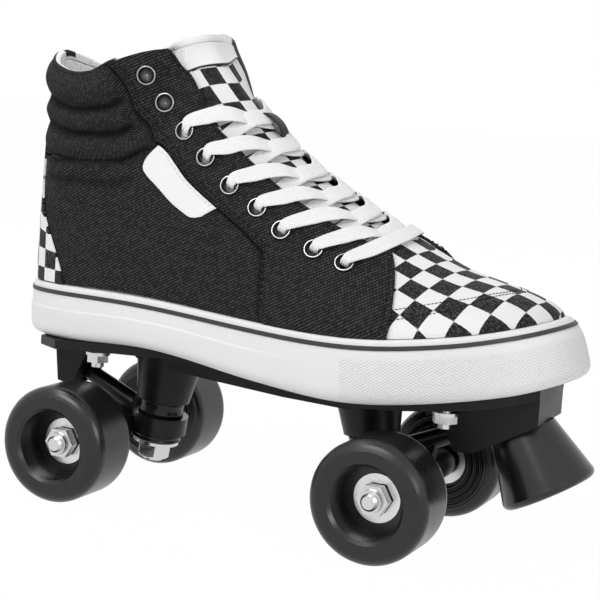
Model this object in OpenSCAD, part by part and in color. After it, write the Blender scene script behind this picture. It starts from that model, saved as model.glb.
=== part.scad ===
// Quad roller skate: a high-top canvas boot on a nylon plate with two sprung trucks and four wheels.
// Millimetres, +X to the toe, +Z up, floor at Z = 0. Each node is one piece, or one group of like pieces.

/* [Wheels] */
// Tread diameter of a wheel
wheel_d = 55.6; // [50:0.2:66]
// Width of a wheel
wheel_w = 32; // [28:0.5:40]
// Distance between the middles of a left and a right wheel
wheel_track = 95.4; // [88:0.2:110]
// Rounding of the tread's edges
wheel_lip_r = 6; // [2:0.5:8]
// Diameter of the recess in the outer face
wheel_recess_d = 33; // [28:0.5:38]
// Depth of that recess, down to the bearing
wheel_recess_depth = 14.3; // [10:0.1:15]
// Rings on the inner face
wheel_ring_count = 8; // [4:1:10]

/* [Bearings] */
// Outer diameter of a bearing
bearing_od = 22; // [19:1:24]
// Bore of a bearing
bearing_bore = 8; // [7:1:8]
// Width of a bearing
bearing_w = 7; // [6:0.5:7]
// Width of the stop between a wheel's two bearings
bearing_stop_w = 1; // [0.6:0.1:2]
// Balls in a bearing
ball_count = 7; // [6:1:8]

/* [Trucks] */
// Distance between the axles
wheelbase = 161.3; // [150:0.1:180]
// Height of the sole's lowest point over the axles
truck_h = 38.7; // [36:0.1:48]
// Length of an axle
axle_len = 119; // [115:0.5:126]
// Kingpin ring's place towards the middle of the skate, from the axle
ring_ahead = 22.6; // [20:0.1:26]
// Kingpin ring's height over the axle
ring_above = 4.7; // [2:0.1:7]
// Lean of the kingpin's top towards the middle
king_lean = 8; // [4:0.5:12]
// Diameter of a kingpin
king_d = 10; // [8:0.5:11]
// Outer diameter of the kingpin ring
ring_d = 28; // [26:0.5:32]
// Height of the kingpin ring
ring_h = 9; // [7:0.5:11]
// Diameter of the upper cushion
cushion_d = 22.6; // [18:0.2:25]
// Height of the upper cushion
cushion_h = 7.5; // [6:0.1:9]
// Height of the lower cushion
low_cushion_h = 4; // [3:0.1:5]
// Distance from the ring's middle to the pivot ball
pivot_len = 53; // [50:0.5:58]
// Rise of the steering axis towards the pivot
steer_tilt = 25; // [22:0.5:28]
// Diameter of the pivot ball
pivot_d = 8; // [7:0.5:9]

/* [Plate and toe stop] */
// Thickness of the plate's flange
plate_t = 4.5; // [3.5:0.1:6]
// Width of the flange
plate_w = 62; // [58:0.5:70]
// Width of the middle beam
beam_w = 30; // [24:0.5:34]
// Diameter of the mounting bolts
bolt_d = 6; // [5:0.5:6]
// Distance between a left and a right mounting bolt
bolt_gauge = 48; // [46:0.5:52]
// Tilt of the toe stop from upright
stop_tilt = 30; // [25:0.5:35]
// Toe stop's diameter at the plate
stop_top_d = 30; // [26:0.5:34]
// Toe stop's diameter at its ground face
stop_foot_d = 44; // [38:0.5:48]
// Height of the toe stop
stop_h = 30; // [24:0.5:32]

/* [Boot] */
// Length of the upper at the top of the sole
last_len = 277.5; // [250:0.5:300]
// Width of the upper across the ball of the foot
ball_w = 93; // [84:0.5:100]
// Width of the upper across the heel
heel_w = 68; // [60:0.5:74]
// Height of the heel's collar over the sole's lowest point
collar_h = 144.5; // [125:0.5:160]
// Thickness of the sole at the ball of the foot
sole_t = 29; // [24:0.5:34]
// Thickness of the foxing band
foxing_t = 3.8; // [3:0.1:5]
// Thickness of one ply of canvas
ply_t = 1.25; // [1:0.05:1.6]
// Room between two plies
ply_gap = 0.25; // [0.2:0.05:0.4]
// Outer diameter of an eyelet
eyelet_d = 9.5; // [8:0.1:10]
// Hole in an eyelet
eyelet_hole = 5.8; // [5.2:0.1:6.2]
// Width of the lace
lace_w = 7.5; // [5:0.1:8.5]
// Thickness of the lace
lace_t = 1.2; // [0.8:0.1:1.4]
// Thickness of the tongue
tongue_t = 4; // [3:0.1:6]
// Thickness of the insole
insole_t = 4.5; // [3:0.1:6]
// Height of the collar's padded rolls
roll_h = 2.6; // [1:0.1:3.5]

/* [Hidden] */

$fn = 48;
fit = 0.03;
run = 0.05;
seat = 0.1;
soft_gap = 0.3;
axle_z = wheel_d / 2;
ride = axle_z + truck_h;
heel_x = -129;
toe_x = heel_x + last_len;

// Heights of the upper follow the collar, widths follow the heel and the ball
hs = collar_h / 144.5;
ls = last_len / 277.5;
ws = heel_w / 68;

// A smooth curve through a table of values
function seg(xs, t, i = 0) = (i >= len(xs) - 2 || t < xs[i + 1]) ? i : seg(xs, t, i + 1);
function rise(xs, ys, i) = (ys[i + 1] - ys[i]) / (xs[i + 1] - xs[i]);
function slope(xs, ys, i) = i == 0 ? rise(xs, ys, 0)
  : i == len(xs) - 1 ? rise(xs, ys, i - 1)
  : (rise(xs, ys, i - 1) + rise(xs, ys, i)) / 2;
function curve(xs, ys, t) =
  let (q = min(max(t, xs[0]), xs[len(xs) - 1]), i = seg(xs, q), h = xs[i + 1] - xs[i], u = (q - xs[i]) / h)
  (2 * pow(u, 3) - 3 * u * u + 1) * ys[i] + (pow(u, 3) - 2 * u * u + u) * h * slope(xs, ys, i)
  + (3 * u * u - 2 * pow(u, 3)) * ys[i + 1] + (pow(u, 3) - u * u) * h * slope(xs, ys, i + 1);
function mix(a, b, t) = a + (b - a) * t;
function ease(lo, hi, t) = let (u = min(max((t - lo) / (hi - lo), 0), 1)) u * u * (3 - 2 * u);
function unit(v) = v / norm(v);

// Outline of the sole's feather line: a runs from the toe, 0, to the heel, 1, and sd is -1 or 1 for the side
body_s = [0, 0.12, 0.3, 0.5, 0.7, 0.85, 1];
body_w = [heel_w / 2, heel_w / 2, heel_w / 2 - 0.5, mix(heel_w, ball_w, 0.4) / 2, ball_w / 2,
  ball_w / 2 - 0.5, ball_w / 2 - 4.5];
bend_s = [0, 0.3, 0.6, 1];
bend_y = [0, 0, -1, 6];
function share(a) = (1 + cos(180 * a)) / 2;
// The toe's end is drawn in under the bumper
toe_tuck = 8;
function tuck(s) = toe_tuck * ls * pow(max(0, (s - 0.8) / 0.2), 2);
function flat_edge(a, sd) =
  let (s = share(a), e = pow(max(1 - pow(abs(2 * s - 1), 3.4), 0), 1 / 2.1))
  [heel_x + last_len * s - tuck(s), curve(bend_s, bend_y, s) + sd * e * curve(body_s, body_w, s)];
function edge_out(a, sd) = a < 0.001 ? [1, 0] : a > 0.999 ? [-1, 0]
  : let (d = flat_edge(a + 0.0005, sd) - flat_edge(a - 0.0005, sd)) unit([d[1], -d[0]]) * sd;
function edge(a, sd, grow = 0) = flat_edge(a, sd) + grow * edge_out(a, sd);

// Height of the sole's top edge and bottom against the share of length from the heel
top_s = [0, 0.21, 0.68, 0.843, 0.933, 1];
top_z = [31, 32.5, 28.9, 33.8, 39, 44.2] * (sole_t / 29);
low_s = [0, 0.105, 0.285, 0.52, 0.68, 0.843, 0.933, 1.03];
low_z = [5, 5.5, 8, 2, 0, 5, 10, 18.5];
function len_share(x) = (x - heel_x) / last_len;
function top_at(x) = ride + curve(top_s, top_z, len_share(x));
function low_at(x) = ride + curve(low_s, low_z, len_share(x));

// The upper's skin: ribs that rise from the feather line to the ridge over the foot or to the collar's rim.
// Each row: place a, then the rib's top x, y, z, its direction there, its rise and its lean at the foot,
// and the ridge's tilt, which sets the foot's crest to the medial side.
rib_a = [0, 0.12, 0.24, 0.34, 0.43, 0.51, 0.58, 0.64, 0.69, 0.745, 0.83, 0.9, 0.95, 0.98, 1];
rib = [
  [261, 0, 49.6, -12, 0, 4, 9, 0, 0],
  [253, 0, 52.4, -4, 34, 0, 14, 3, 0],
  [240.5, 0, 55.8, -2, 50, 0, 22, 3, 0],
  [224.5, 0, 60, 0, 60, 0, 34, 2, 2],
  [204, 0, 69, 0, 72, 0, 48, 0, 10],
  [175, 0, 83.6, 0, 84, 0, 70, 0, 15],
  [144, 0, 102, 0, 92, 0, 95, 0, 14],
  [118, 0, 124.7, 0, 92, 0, 120, 0, 12],
  [97, 0, 148.5, 0, 80, 0, 140, 0, 0],
  [75, 26, 148.5, 0, 4, 60, 110, 0, 0],
  [37, 31, 136.5, 0, 0, 60, 100, 0, 0],
  [16.2, 23.3, 139.2, -2, 1, 60, 100, 0, 0],
  [8.7, 13.5, 142, -3, 1, 60, 100, 0, 0],
  [6, 5.6, 143.7, -3, 0.5, 60, 100, 0, 0],
  [5.5, 0, 144.5, -3, 0, 60, 100, 0, 0]];
function skin(a, v, sd) =
  let (r = curve(rib_a, rib, a), f = flat_edge(a, sd),
    p0 = [f[0], f[1], top_at(f[0])],
    p1 = [heel_x + r[0] * ls, sd * r[1] * ws, ride + r[2] * hs],
    t0 = [0, sd * r[7], r[6] * hs],
    t1 = [r[3], -sd * r[4] * ws, (r[5] - sd * r[8]) * hs])
  (2 * pow(v, 3) - 3 * v * v + 1) * p0 + (pow(v, 3) - 2 * v * v + v) * t0
  + (3 * v * v - 2 * pow(v, 3)) * p1 + (pow(v, 3) - v * v) * t1;
function along(a, v, sd) = a < 0.001 ? [0, sd, 0] : a > 0.999 ? [0, -sd, 0]
  : skin(a + 0.001, v, sd) - skin(a - 0.001, v, sd);
function across(a, v, sd) = (v > 0.999 && a < 0.692 && a > 0.001)
  ? let (r = curve(rib_a, rib, a)) [0, -sd * r[4] * ws, -sd * r[8] * hs]
  : skin(a, v + 0.001, sd) - skin(a, v - 0.001, sd);
function outward(a, v, sd) = sd * unit(cross(along(a, v, sd), across(a, v, sd)));
function skin_at(p, off) = skin(p[0], p[1], p[2]) + off * outward(p[0], p[1], p[2]);

// A closed sheet between an outer and an inner grid of points, n by m. With fold, the first row is a line
// that the sheet turns back on, so its two halves share their points.
function cell(i, j, m, fold) = (fold && i == 0) ? min(j, m - 1 - j) : i * m + j;
function grid_faces(n, m, o, flip, fold) = [for (i = [0 : n - 2], j = [0 : m - 2])
  let (a = o + cell(i, j, m, fold), b = o + cell(i, j + 1, m, fold), c = o + (i + 1) * m + j + 1, d = c - 1)
  each flip ? [[a, c, b], [a, d, c]] : [[a, b, c], [a, c, d]]];
function rim_path(n, m, fold) = concat(fold ? [] : [for (j = [0 : m - 2]) j],
  [for (i = [0 : n - 2]) cell(i, m - 1, m, fold)],
  [for (j = [m - 1 : -1 : 1]) (n - 1) * m + j], [for (i = [n - 1 : -1 : 1]) i * m]);
module sheet(outer, inner, flip = false, fold = false) {
  n = len(outer);
  m = len(outer[0]);
  k = n * m;
  rim = rim_path(n, m, fold);
  wall = [for (i = [0 : len(rim) - 1]) let (a = rim[i], b = rim[(i + 1) % len(rim)])
    each flip ? [[a, b, b + k], [a, b + k, a + k]] : [[b, a, a + k], [b, a + k, b + k]]];
  polyhedron(points = concat([for (r = outer) each r], [for (r = inner) each r]),
    faces = concat(grid_faces(n, m, 0, flip, fold), grid_faces(n, m, k, !flip, fold), wall), convexity = 10);
}
// A panel of the upper: a grid of places on the skin, between two heights over it
module panel(places, hi, lo, flip = false, fold = false)
  sheet([for (r = places) [for (p = r) skin_at(p, hi)]], [for (r = places) [for (p = r) skin_at(p, lo)]], flip, fold);
function steps(n) = [for (i = [0 : n]) i / n];

// A ring or strip of closed sections, joined end to end or capped
function ring_faces(n, m, shut) = concat(
  [for (i = [0 : (shut ? n - 1 : n - 2)], j = [0 : m - 1])
    let (i2 = (i + 1) % n, j2 = (j + 1) % m, a = i * m + j, b = i2 * m + j, c = i2 * m + j2, d = i * m + j2)
    each [[a, b, c], [a, c, d]]],
  shut ? [] : [for (j = [1 : m - 2]) [0, j, j + 1]],
  shut ? [] : [for (j = [1 : m - 2]) let (o = (n - 1) * m) [o, o + j + 1, o + j]]);
module loft(sections, shut = false)
  polyhedron(points = [for (s = sections) each s], faces = ring_faces(len(sections), len(sections[0]), shut),
    convexity = 10);

// Sole: stations round the outline, from the toe along the medial side to the heel and back
side_n = 44;
bumper_k = 16;
sole_inset = 0.8;
board_t = 2;
bed_drop = 8;
function loop() = concat([for (k = [0 : side_n]) [k / side_n, 1]], [for (k = [side_n - 1 : -1 : 1]) [k / side_n, -1]]);
wall_h = [0, 0.12, 0.3, 0.75, 1];
wall_drop = [2.2, 0.6, 0, 0, 0.7];
wall_toe = [11.5, 10.8, 9.2, 4.6, 0];
function wall_out(a, k) = foxing_t - sole_inset - wall_drop[k] + wall_toe[k] * pow(ease(0.82, 1, share(a)), 2);
function wall_pt(a, sd, grow, h) = let (e = edge(a, sd, grow)) [e[0], e[1], mix(low_at(e[0]), top_at(e[0]), h)];
function wall_section(p) = concat([wall_pt(p[0], p[1], -sole_inset, 0), wall_pt(p[0], p[1], -sole_inset, 1)],
  [for (k = [4 : -1 : 0]) wall_pt(p[0], p[1], wall_out(p[0], k), wall_h[k])]);

module foxing() placed() color("white") {
  cut = bumper_k / side_n + 0.0005;
  rear = concat([[cut, 1]], [for (p = loop()) if (p[1] > 0 && p[0] > cut) p],
    [for (p = loop()) if (p[1] < 0 && p[0] > cut) p], [[cut, -1]]);
  loft([for (p = rear) wall_section(p)]);
}

module toe_bumper() placed() color("gainsboro") {
  cut = bumper_k / side_n - 0.0005;
  front = concat([[cut, -1]], [for (p = loop()) if (p[1] < 0 && p[0] < cut) p],
    [for (p = loop()) if (p[1] > 0 && p[0] < cut) p], [[cut, 1]]);
  loft([for (p = front) wall_section(p)]);
}

stripe_h = 2;
stripe_down = 2.6;
stripe_proud = 0.5;
stripe_room = 0.3;
stripe_top = stripe_room + stripe_proud;
function stripe_pt(p, down, proud) =
  let (e = edge(p[0], p[1]), k = 1 - down / ((top_at(e[0]) - low_at(e[0])) * (1 - wall_h[3])), n = edge_out(p[0], p[1]))
  mix(wall_pt(p[0], p[1], wall_out(p[0], 3), wall_h[3]), wall_pt(p[0], p[1], wall_out(p[0], 4), 1), k)
  + proud * [n[0], n[1], 0];
module foxing_stripe() placed() color("black")
  loft([for (p = loop()) [stripe_pt(p, stripe_down + stripe_h, stripe_room), stripe_pt(p, stripe_down, stripe_room),
    stripe_pt(p, stripe_down, stripe_top), stripe_pt(p, stripe_down + stripe_h, stripe_top)]], true);

// Whole skate moves so that its box is centred: the stripe at the heel and the toe stop reach furthest
stop_x = wheelbase / 2 + 48.4;
stop_z = axle_z + 28.7;
stop_round = 3;
rear_x = min(heel_x - foxing_t + sole_inset, stripe_pt([1, 1], stripe_down + stripe_h, stripe_top)[0]);
front_x = stop_x + (stop_h - stop_round) * sin(stop_tilt)
  + (stop_foot_d / 2 - stop_round) * cos(stop_tilt) + stop_round;
mid_x = (rear_x + front_x) / 2;
module placed() translate([-mid_x, 0, 0]) children();

// A slab inside the sole's wall, from one depth under the sole's top edge to another, or down to its bottom
module bed(grow, lo, hi, ends) {
  n = 34;
  loft([for (i = [0 : n]) let (a = mix(ends, 1 - ends, i / n), l = edge(a, -1, grow), m = edge(a, 1, grow))
    [[l[0], l[1], lo == undef ? low_at(l[0]) : top_at(l[0]) - lo], [l[0], l[1], top_at(l[0]) - hi],
     [m[0], m[1], top_at(m[0]) - hi], [m[0], m[1], lo == undef ? low_at(m[0]) : top_at(m[0]) - lo]]]);
}
rear_bolt_x = heel_x + 0.175 * last_len;
front_bolt_x = heel_x + 0.8255 * last_len;
head_r = 4.6;
head_h = 1.8;
function head_z(x) = max(top_at(x - head_r), top_at(x + head_r)) - bed_drop + board_t + 2 * seat;
module at_bolts() for (x = [rear_bolt_x, front_bolt_x], sd = [-1, 1]) translate([x, sd * bolt_gauge / 2, 0]) children();
module bolt_bores(r) at_bolts() translate([0, 0, 1]) cylinder(r = r, h = collar_h + ride, $fn = 24);

module midsole() placed() color("whitesmoke") difference() {
  bed(-sole_inset - soft_gap, undef, bed_drop, 0.05);
  bolt_bores(bolt_d / 2 + seat);
}

module insole_board() placed() color("tan") difference() {
  bed(-3.6, bed_drop - seat, bed_drop - seat - board_t, 0.08);
  bolt_bores(bolt_d / 2 + seat);
}

insole_down = bed_drop - board_t - 0.3;
module insole() placed() color("lightgray") difference() {
  bed(-3.8, insole_down, insole_down - insole_t, 0.08);
  for (x = [rear_bolt_x, front_bolt_x], sd = [-1, 1])
    translate([x, sd * bolt_gauge / 2, head_z(x) - 3])
      cylinder(r = head_r + 0.6, h = head_h + 3 + soft_gap, $fn = 24);
}

// Plies over the skin
base_hi = -0.1;
base_lo = base_hi - ply_t;
over_lo = base_hi + ply_gap;
over_hi = over_lo + ply_t;
lining_hi = base_lo - ply_gap - 0.5;
lining_lo = lining_hi - ply_t;
foot_v = 0.006;

// From the lateral edge round the heel to the medial edge, where line(v) is the edge's place
function round_heel(u, a0) = u <= 1 ? [mix(a0, 1, u), -1] : [mix(a0, 1, 2 - u), 1];

lining_v = [-0.02, 0.1, 0.4, 0.55, 0.75, 1];
lining_a = [0.49, 0.505, 0.55, 0.7, 0.745, 0.785];
module lining() placed() color("white")
  panel([for (i = [0 : 28]) [for (q = steps(11))
    let (v = mix(-0.02, 1, q), g = round_heel(i / 14, curve(lining_v, lining_a, v))) [g[0], v, g[1]]]],
    lining_hi, lining_lo, true);

// Rear quarters: from under the eyestay to the middle of the heel, up to the collar
quarter_a = [0.475, 0.5, 0.53, 0.6, 0.65, 0.69, 0.75, 0.81, 0.9, 1];
quarter_v = [0.05, 0.25, 0.42, 0.465, 0.468, 0.47, 0.492, 0.512, 0.505, 0.49];
heel_slit = 0.004;
module quarter(sd)
  panel([for (p = steps(18)) let (a = mix(0.476, 1 - heel_slit, p)) [for (q = steps(7))
    [a, mix(foot_v, curve(quarter_a, quarter_v, a), q), sd]]], base_hi, base_lo, sd < 0);
module quarter_lateral() placed() color("dimgray") quarter(-1);
module quarter_medial() placed() color("dimgray") quarter(1);

// Padded collar: three rolls one over the other, drawn in along stitched channels
collar_v = [0.45, 0.47, 0.53, 0.75, 0.89, 1];
collar_a = [0.648, 0.652, 0.697, 0.75, 0.777, 0.79];
channels = [0, 0.25, 0.5, 1];
roll_share = [0.75, 0.8, 1];
function roll(q, p) =
  let (k = q < channels[1] ? 0 : q < channels[2] ? 1 : 2, f = (q - channels[k]) / (channels[k + 1] - channels[k]),
    calm = k < 2 ? 1 - ease(0.88, 0.93, p[0]) : 1, w = ease(0.5, 0.62, p[1]),
    start = ease(mix(0.034, 0.012, w), mix(0.07, 0.04, w), p[0] - curve(collar_v, collar_a, p[1])))
  roll_h * roll_share[k] * calm * start * pow(max(sin(180 * f), 0), 0.6);
collar_q = [0, 0.04, 0.125, 0.21, 0.25, 0.29, 0.375, 0.46, 0.5, 0.54, 0.65, 0.78, 0.9, 0.97, 1];
function collar_place(i, q) =
  let (b = curve(quarter_a, quarter_v, round_heel(i / 14, 0.65)[0]) + 0.006, v = mix(b, 1, q),
    g = round_heel(i / 14, curve(collar_v, collar_a, v)))
  [g[0], v, g[1]];
module ankle_collar() placed() color("#282828")
  sheet([for (i = [0 : 28]) [for (q = collar_q) let (p = collar_place(i, q)) skin_at(p, base_hi + roll(q, p))]],
    [for (i = [0 : 28]) [for (q = collar_q) skin_at(collar_place(i, q), base_lo)]], true);

// Heel counter: narrow at its top, spread at the sole
counter_v = [0, 0.1, 0.2, 0.3, 0.42, 0.62];
counter_a = [0.79, 0.813, 0.845, 0.89, 0.925, 0.945];
counter_top = 0.62;
module heel_counter() placed() color("silver")
  panel([for (i = [0 : 12]) [for (q = steps(9)) let (v = mix(foot_v, counter_top, q),
    g = round_heel(i / 6, curve(counter_v, counter_a, v))) [g[0], v, g[1]]]], over_hi, over_lo, true);

// Toe cap: over the toe from side to side, back to the throat
cap_v = [0, 0.243, 0.543, 0.69, 0.757, 1];
cap_a = [0.347, 0.356, 0.404, 0.438, 0.447, 0.447];
module toe_cap() placed() color("gray")
  panel([for (p = steps(12)) [for (w = steps(20)) let (v = mix(foot_v, 1, 1 - abs(1 - 2 * w)))
    [p * curve(cap_v, cap_a, v), v, w <= 0.5 ? -1 : 1]]], base_hi, base_lo, true, true);

// Eyestay: between its foot and rear seam, stay_b, and its throat edge, stay_f, from the toe cap to the rim
function line(xs, ys, t) = let (i = seg(xs, t)) mix(ys[i], ys[i + 1], (t - xs[i]) / (xs[i + 1] - xs[i]));
stay_p = [0, 0.12, 0.27, 0.36, 0.45, 0.55, 0.65, 0.75, 0.84, 0.92, 1];
stay_b = [[0.338, foot_v], [0.4, foot_v], [0.485, foot_v], [0.502, 0.2], [0.528, 0.38], [0.565, 0.42],
  [0.607, 0.447], [0.65, 0.46], [0.706, 0.53], [0.757, 0.745], [0.8, 1]];
stay_f = [[0.441, 0.757], [0.474, 0.73], [0.51, 0.72], [0.54, 0.716], [0.572, 0.715], [0.605, 0.715],
  [0.635, 0.708], [0.662, 0.69], [0.69, 0.73], [0.716, 0.83], [0.737, 1]];
// On the medial side the throat's edge lies nearer to the crest, and further back beside the tongue's free end
stay_in = [0.05, 0.05, 0.05, 0.05, 0.05, 0.05, 0, -0.06, -0.06, -0.06, 0];
cap_bow = 0.03;
function stay_place(p, q, sd) =
  let (b = line(stay_p, stay_b, p), f = curve(stay_p, stay_f, p) + (sd > 0 ? [0, line([for (t = stay_p) t], stay_in, p)] : [0, 0]), c = mix(b, f, q))
  [c[0] - cap_bow * 4 * q * (1 - q) * max(0, 1 - p / stay_p[2]), c[1], sd];
eyelet_at = [[0.751, 0.852], [0.71, 0.64], [0.669, 0.57], [0.64, 0.582], [0.605, 0.568], [0.57, 0.567],
  [0.536, 0.54], [0.496, 0.537], [0.459, 0.545]];
// Puts children on the skin at a place, Z outward
module on_skin(a, v, sd) {
  z = outward(a, v, sd);
  x = unit(cross(across(a, v, sd), z));
  y = cross(z, x);
  o = skin(a, v, sd);
  multmatrix([[x[0], y[0], z[0], o[0]], [x[1], y[1], z[1], o[1]], [x[2], y[2], z[2], o[2]], [0, 0, 0, 1]]) children();
}
eyelet_wall = 0.6;
module eyestay(sd) difference() {
  panel([for (p = [0, 0.06, 0.12, 0.195, 0.27, 0.315, 0.36, 0.405, 0.45, 0.5, 0.55, 0.6, 0.65, 0.7, 0.75, 0.795, 0.84, 0.88,
    0.92, 0.96, 1]) [for (q = steps(6)) stay_place(p, q, sd)]], over_hi, over_lo, sd < 0);
  for (e = eyelet_at) on_skin(e[0], e[1], sd)
    translate([0, 0, over_lo - 2]) cylinder(r = eyelet_hole / 2 + eyelet_wall + seat, h = ply_t + 4, $fn = 16);
}
module eyestay_lateral() placed() color("#202020") eyestay(-1);
module eyestay_medial() placed() color("#202020") eyestay(1);

// Eyelet: a turned ring with a rolled flange outside and a clinched one inside
flange_t = 0.9;
clinch_t = 0.5;
flange_z = over_hi + 0.3;
clinch_z = over_lo - 0.3;
module eyelet() {
  r = eyelet_hole / 2;
  rotate_extrude($fn = 32) polygon([[r, clinch_z - clinch_t], [r + eyelet_wall + 0.7, clinch_z - clinch_t],
    [r + eyelet_wall + 0.7, clinch_z], [r + eyelet_wall, clinch_z], [r + eyelet_wall, flange_z],
    [eyelet_d / 2, flange_z], [eyelet_d / 2 - 0.2, flange_z + flange_t * 0.6],
    [eyelet_d / 2 - 0.9, flange_z + flange_t], [r + 0.3, flange_z + flange_t * 0.7], [r, flange_z]]);
}
module eyelets(sd) for (e = eyelet_at) on_skin(e[0], e[1], sd) eyelet();
module eyelets_lateral() placed() color("silver") eyelets(-1);
module eyelets_medial() placed() color("silver") eyelets(1);

// Side tag, left blank: sewn along the eyestay's rear seam
tag_t = 0.8;
module side_tag() placed() color("white")
  panel([for (p = steps(8)) let (a = mix(0.606, 0.688, p), s = line([0.565, 0.607, 0.65, 0.706], [0.42, 0.447, 0.46, 0.53], a))
    [for (q = steps(3)) [a, s - mix(0.092, 0.012, q), -1]]], over_lo + tag_t, over_lo, true);

// Tongue: its outer face along a middle line of x from the heel and z over the sole's lowest point
tongue_l = [0, 0.15, 0.35, 0.55, 0.72, 0.87, 1];
tongue_c = [[220, 57.2], [203, 65.4], [174, 80.3], [142.5, 99.5], [116, 122.4], [94.5, 146.5], [90, 157]];
tongue_hw = [15, 17, 19.5, 20.6, 20, 18.6, 19.5];
tongue_dep = [6, 8, 11, 14, 17.8, 18.5, 12.5];
tongue_tilt = [0, 1.4, 2.9, 3.1, 2.4, 1, 0];
// The medial half is less bowed towards the free end
flat_l = [0, 0.75, 0.82, 0.88, 1];
flat_bow = [1, 1, 0.7, 0.15, 0];
corner_drop = 0.05;
function tongue_mid(l) = let (c = curve(tongue_l, tongue_c, l)) [heel_x + c[0] * ls, 0, ride + c[1] * hs];
function tongue_in(l) = let (d = unit(tongue_mid(l + 0.004) - tongue_mid(l - 0.004))) [-d[2], 0, d[0]] * (d[0] < 0 ? 1 : -1);
function tongue_pt(l, w, down) =
  let (k = l * (1 - corner_drop * pow(w, 4)), n = tongue_in(min(max(k, 0.004), 0.996)),
    bow = curve(tongue_l, tongue_dep, k) * w * w * (w > 0 ? curve(flat_l, flat_bow, k) : 1))
  tongue_mid(k) + [0, w * ws * curve(tongue_l, tongue_hw, k), 0] + n * (down + bow - curve(tongue_l, tongue_tilt, k) * w);
module tongue_sheet(places, hi, lo)
  sheet([for (r = places) [for (p = r) tongue_pt(p[0], p[1], hi)]],
    [for (r = places) [for (p = r) tongue_pt(p[0], p[1], lo)]], true);
bind_w = 0.88;
bind_l = 0.955;
module tongue() placed() color("white")
  tongue_sheet([for (l = steps(16)) [for (w = steps(10)) [l * bind_l, (2 * w - 1) * bind_w]]], 0, tongue_t);

// Binding: from one foot of the tongue up its edge, over the top and down the other edge
function border(w, l) = concat([for (i = [3 : 12]) [l * i / 12, -w]], [for (i = [-3 : 3]) [l, w * i / 4]],
  [for (i = [12 : -1 : 3]) [l * i / 12, w]]);
bind_gap = 0.012;
module tongue_binding() placed() color("black") {
  inner = border(bind_w + bind_gap, bind_l + bind_gap / 2);
  outer = border(1, 1);
  tongue_sheet([for (i = [0 : len(inner) - 1]) [for (q = steps(2)) mix(outer[i], inner[i], q)]], -0.3, tongue_t + 0.3);
}

label_t = 0.6;
label_room = 0.45;
module tongue_label() placed() color("gainsboro")
  tongue_sheet([for (l = steps(4)) [for (w = steps(8)) [mix(0.885, 0.95, l), mix(-0.66, 0.66, w)]]],
    -label_room - label_t, -label_room);

// Lace: one band from the inside at the third lateral eyelet, down to a bar across the lowest pair, and up again.
// Each stop on the way: place on the skin, side, height over it, width and thickness.
first_row = 2;
last_row = 8;
tongue_clear = 2.4;
under_off = -tongue_clear + soft_gap + lace_t / 2;
over_off = under_off + lace_t + soft_gap;
stay_off = over_hi + soft_gap + lace_t / 2;
flange_off = flange_z + flange_t + soft_gap + lace_t / 2;
hole_w = min(lace_w, eyelet_hole - 1.4);
hole_t = min(lace_t * 1.3, 1.6);
// Down through the hole of row i on side sd from above
function out_of_hole(i, sd) = let (a = eyelet_at[i][0], v = eyelet_at[i][1]) [
  [a, v, sd, -0.4, hole_w, hole_t], [a, v + 0.001, sd, 1.5, hole_w, hole_t],
  [a, v + 0.012, sd, flange_off - 0.5, hole_w, lace_t], [a, v + 0.035, sd, flange_off, mix(hole_w, lace_w, 0.5), lace_t]];
function into_hole(i, sd) = let (a = eyelet_at[i][0], v = eyelet_at[i][1]) [
  [a + 0.003, v + 0.05, sd, under_off, mix(hole_w, lace_w, 0.5), lace_t],
  [a, v + 0.016, sd, under_off + 0.1, hole_w, lace_t]];
// From the hole of row i on side sd over the tongue and under the other side, to row i + 1
function crossing(i, sd) = let (a = eyelet_at[i][0], d = a - eyelet_at[i + 1][0]) [
  [a - 0.1 * d, 0.675, sd, stay_off, lace_w, lace_t], [a - 0.18 * d, sd < 0 ? 0.73 : 0.76, sd, stay_off, lace_w, lace_t],
  [a - 0.27 * d, sd < 0 ? 0.79 : 0.84, sd, stay_off - 0.5, lace_w, lace_t],
  [a - 0.38 * d, sd < 0 ? 0.89 : 0.92, sd, sd > 0 ? over_off + 0.4 : under_off + 0.5, lace_w, lace_t],
  [a - 0.5 * d, 1, sd, sd > 0 ? over_off : under_off, lace_w, lace_t],
  [a - 0.58 * d, 0.88, -sd, under_off + (sd > 0 ? 0.8 : 0), lace_w, lace_t],
  [a - 0.65 * d, 0.77, -sd, under_off, lace_w, lace_t], [a - 0.8 * d, 0.68, -sd, under_off, lace_w, lace_t]];
function back(list) = [for (k = [len(list) - 1 : -1 : 0]) list[k]];
function tucked(sd) = let (a = eyelet_at[first_row][0], v = eyelet_at[first_row][1]) [
  [a + 0.022, v + 0.03, sd, under_off, hole_w, lace_t], [a + 0.01, v + 0.02, sd, under_off, hole_w, lace_t]];
function strand(sd) = concat(tucked(sd), [for (i = [first_row : last_row]) let (s = (i - first_row) % 2 == 0 ? sd : -sd)
  each concat(out_of_hole(i, s), i < last_row ? concat(crossing(i, s), into_hole(i + 1, -s)) : [])]);
bar_a = eyelet_at[last_row][0];
bar = [[bar_a - 0.003, 0.675, -1, stay_off, lace_w, lace_t], [bar_a - 0.006, 0.8, -1, stay_off, lace_w, lace_t],
  [bar_a - 0.008, 0.91, -1, stay_off, lace_w, lace_t],
  [bar_a - 0.008, 1, 1, stay_off, lace_w, lace_t],
  [bar_a - 0.008, 0.91, 1, stay_off, lace_w, lace_t],
  [bar_a - 0.006, 0.8, 1, stay_off, lace_w, lace_t], [bar_a - 0.003, 0.675, 1, stay_off, lace_w, lace_t]];
lace_stops = concat(strand(-1), bar, back(strand(1)));
function lace_mid(s) = skin_at([s[0], s[1], s[2]], s[3]);
lace_line = [for (s = lace_stops) lace_mid(s)];
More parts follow.
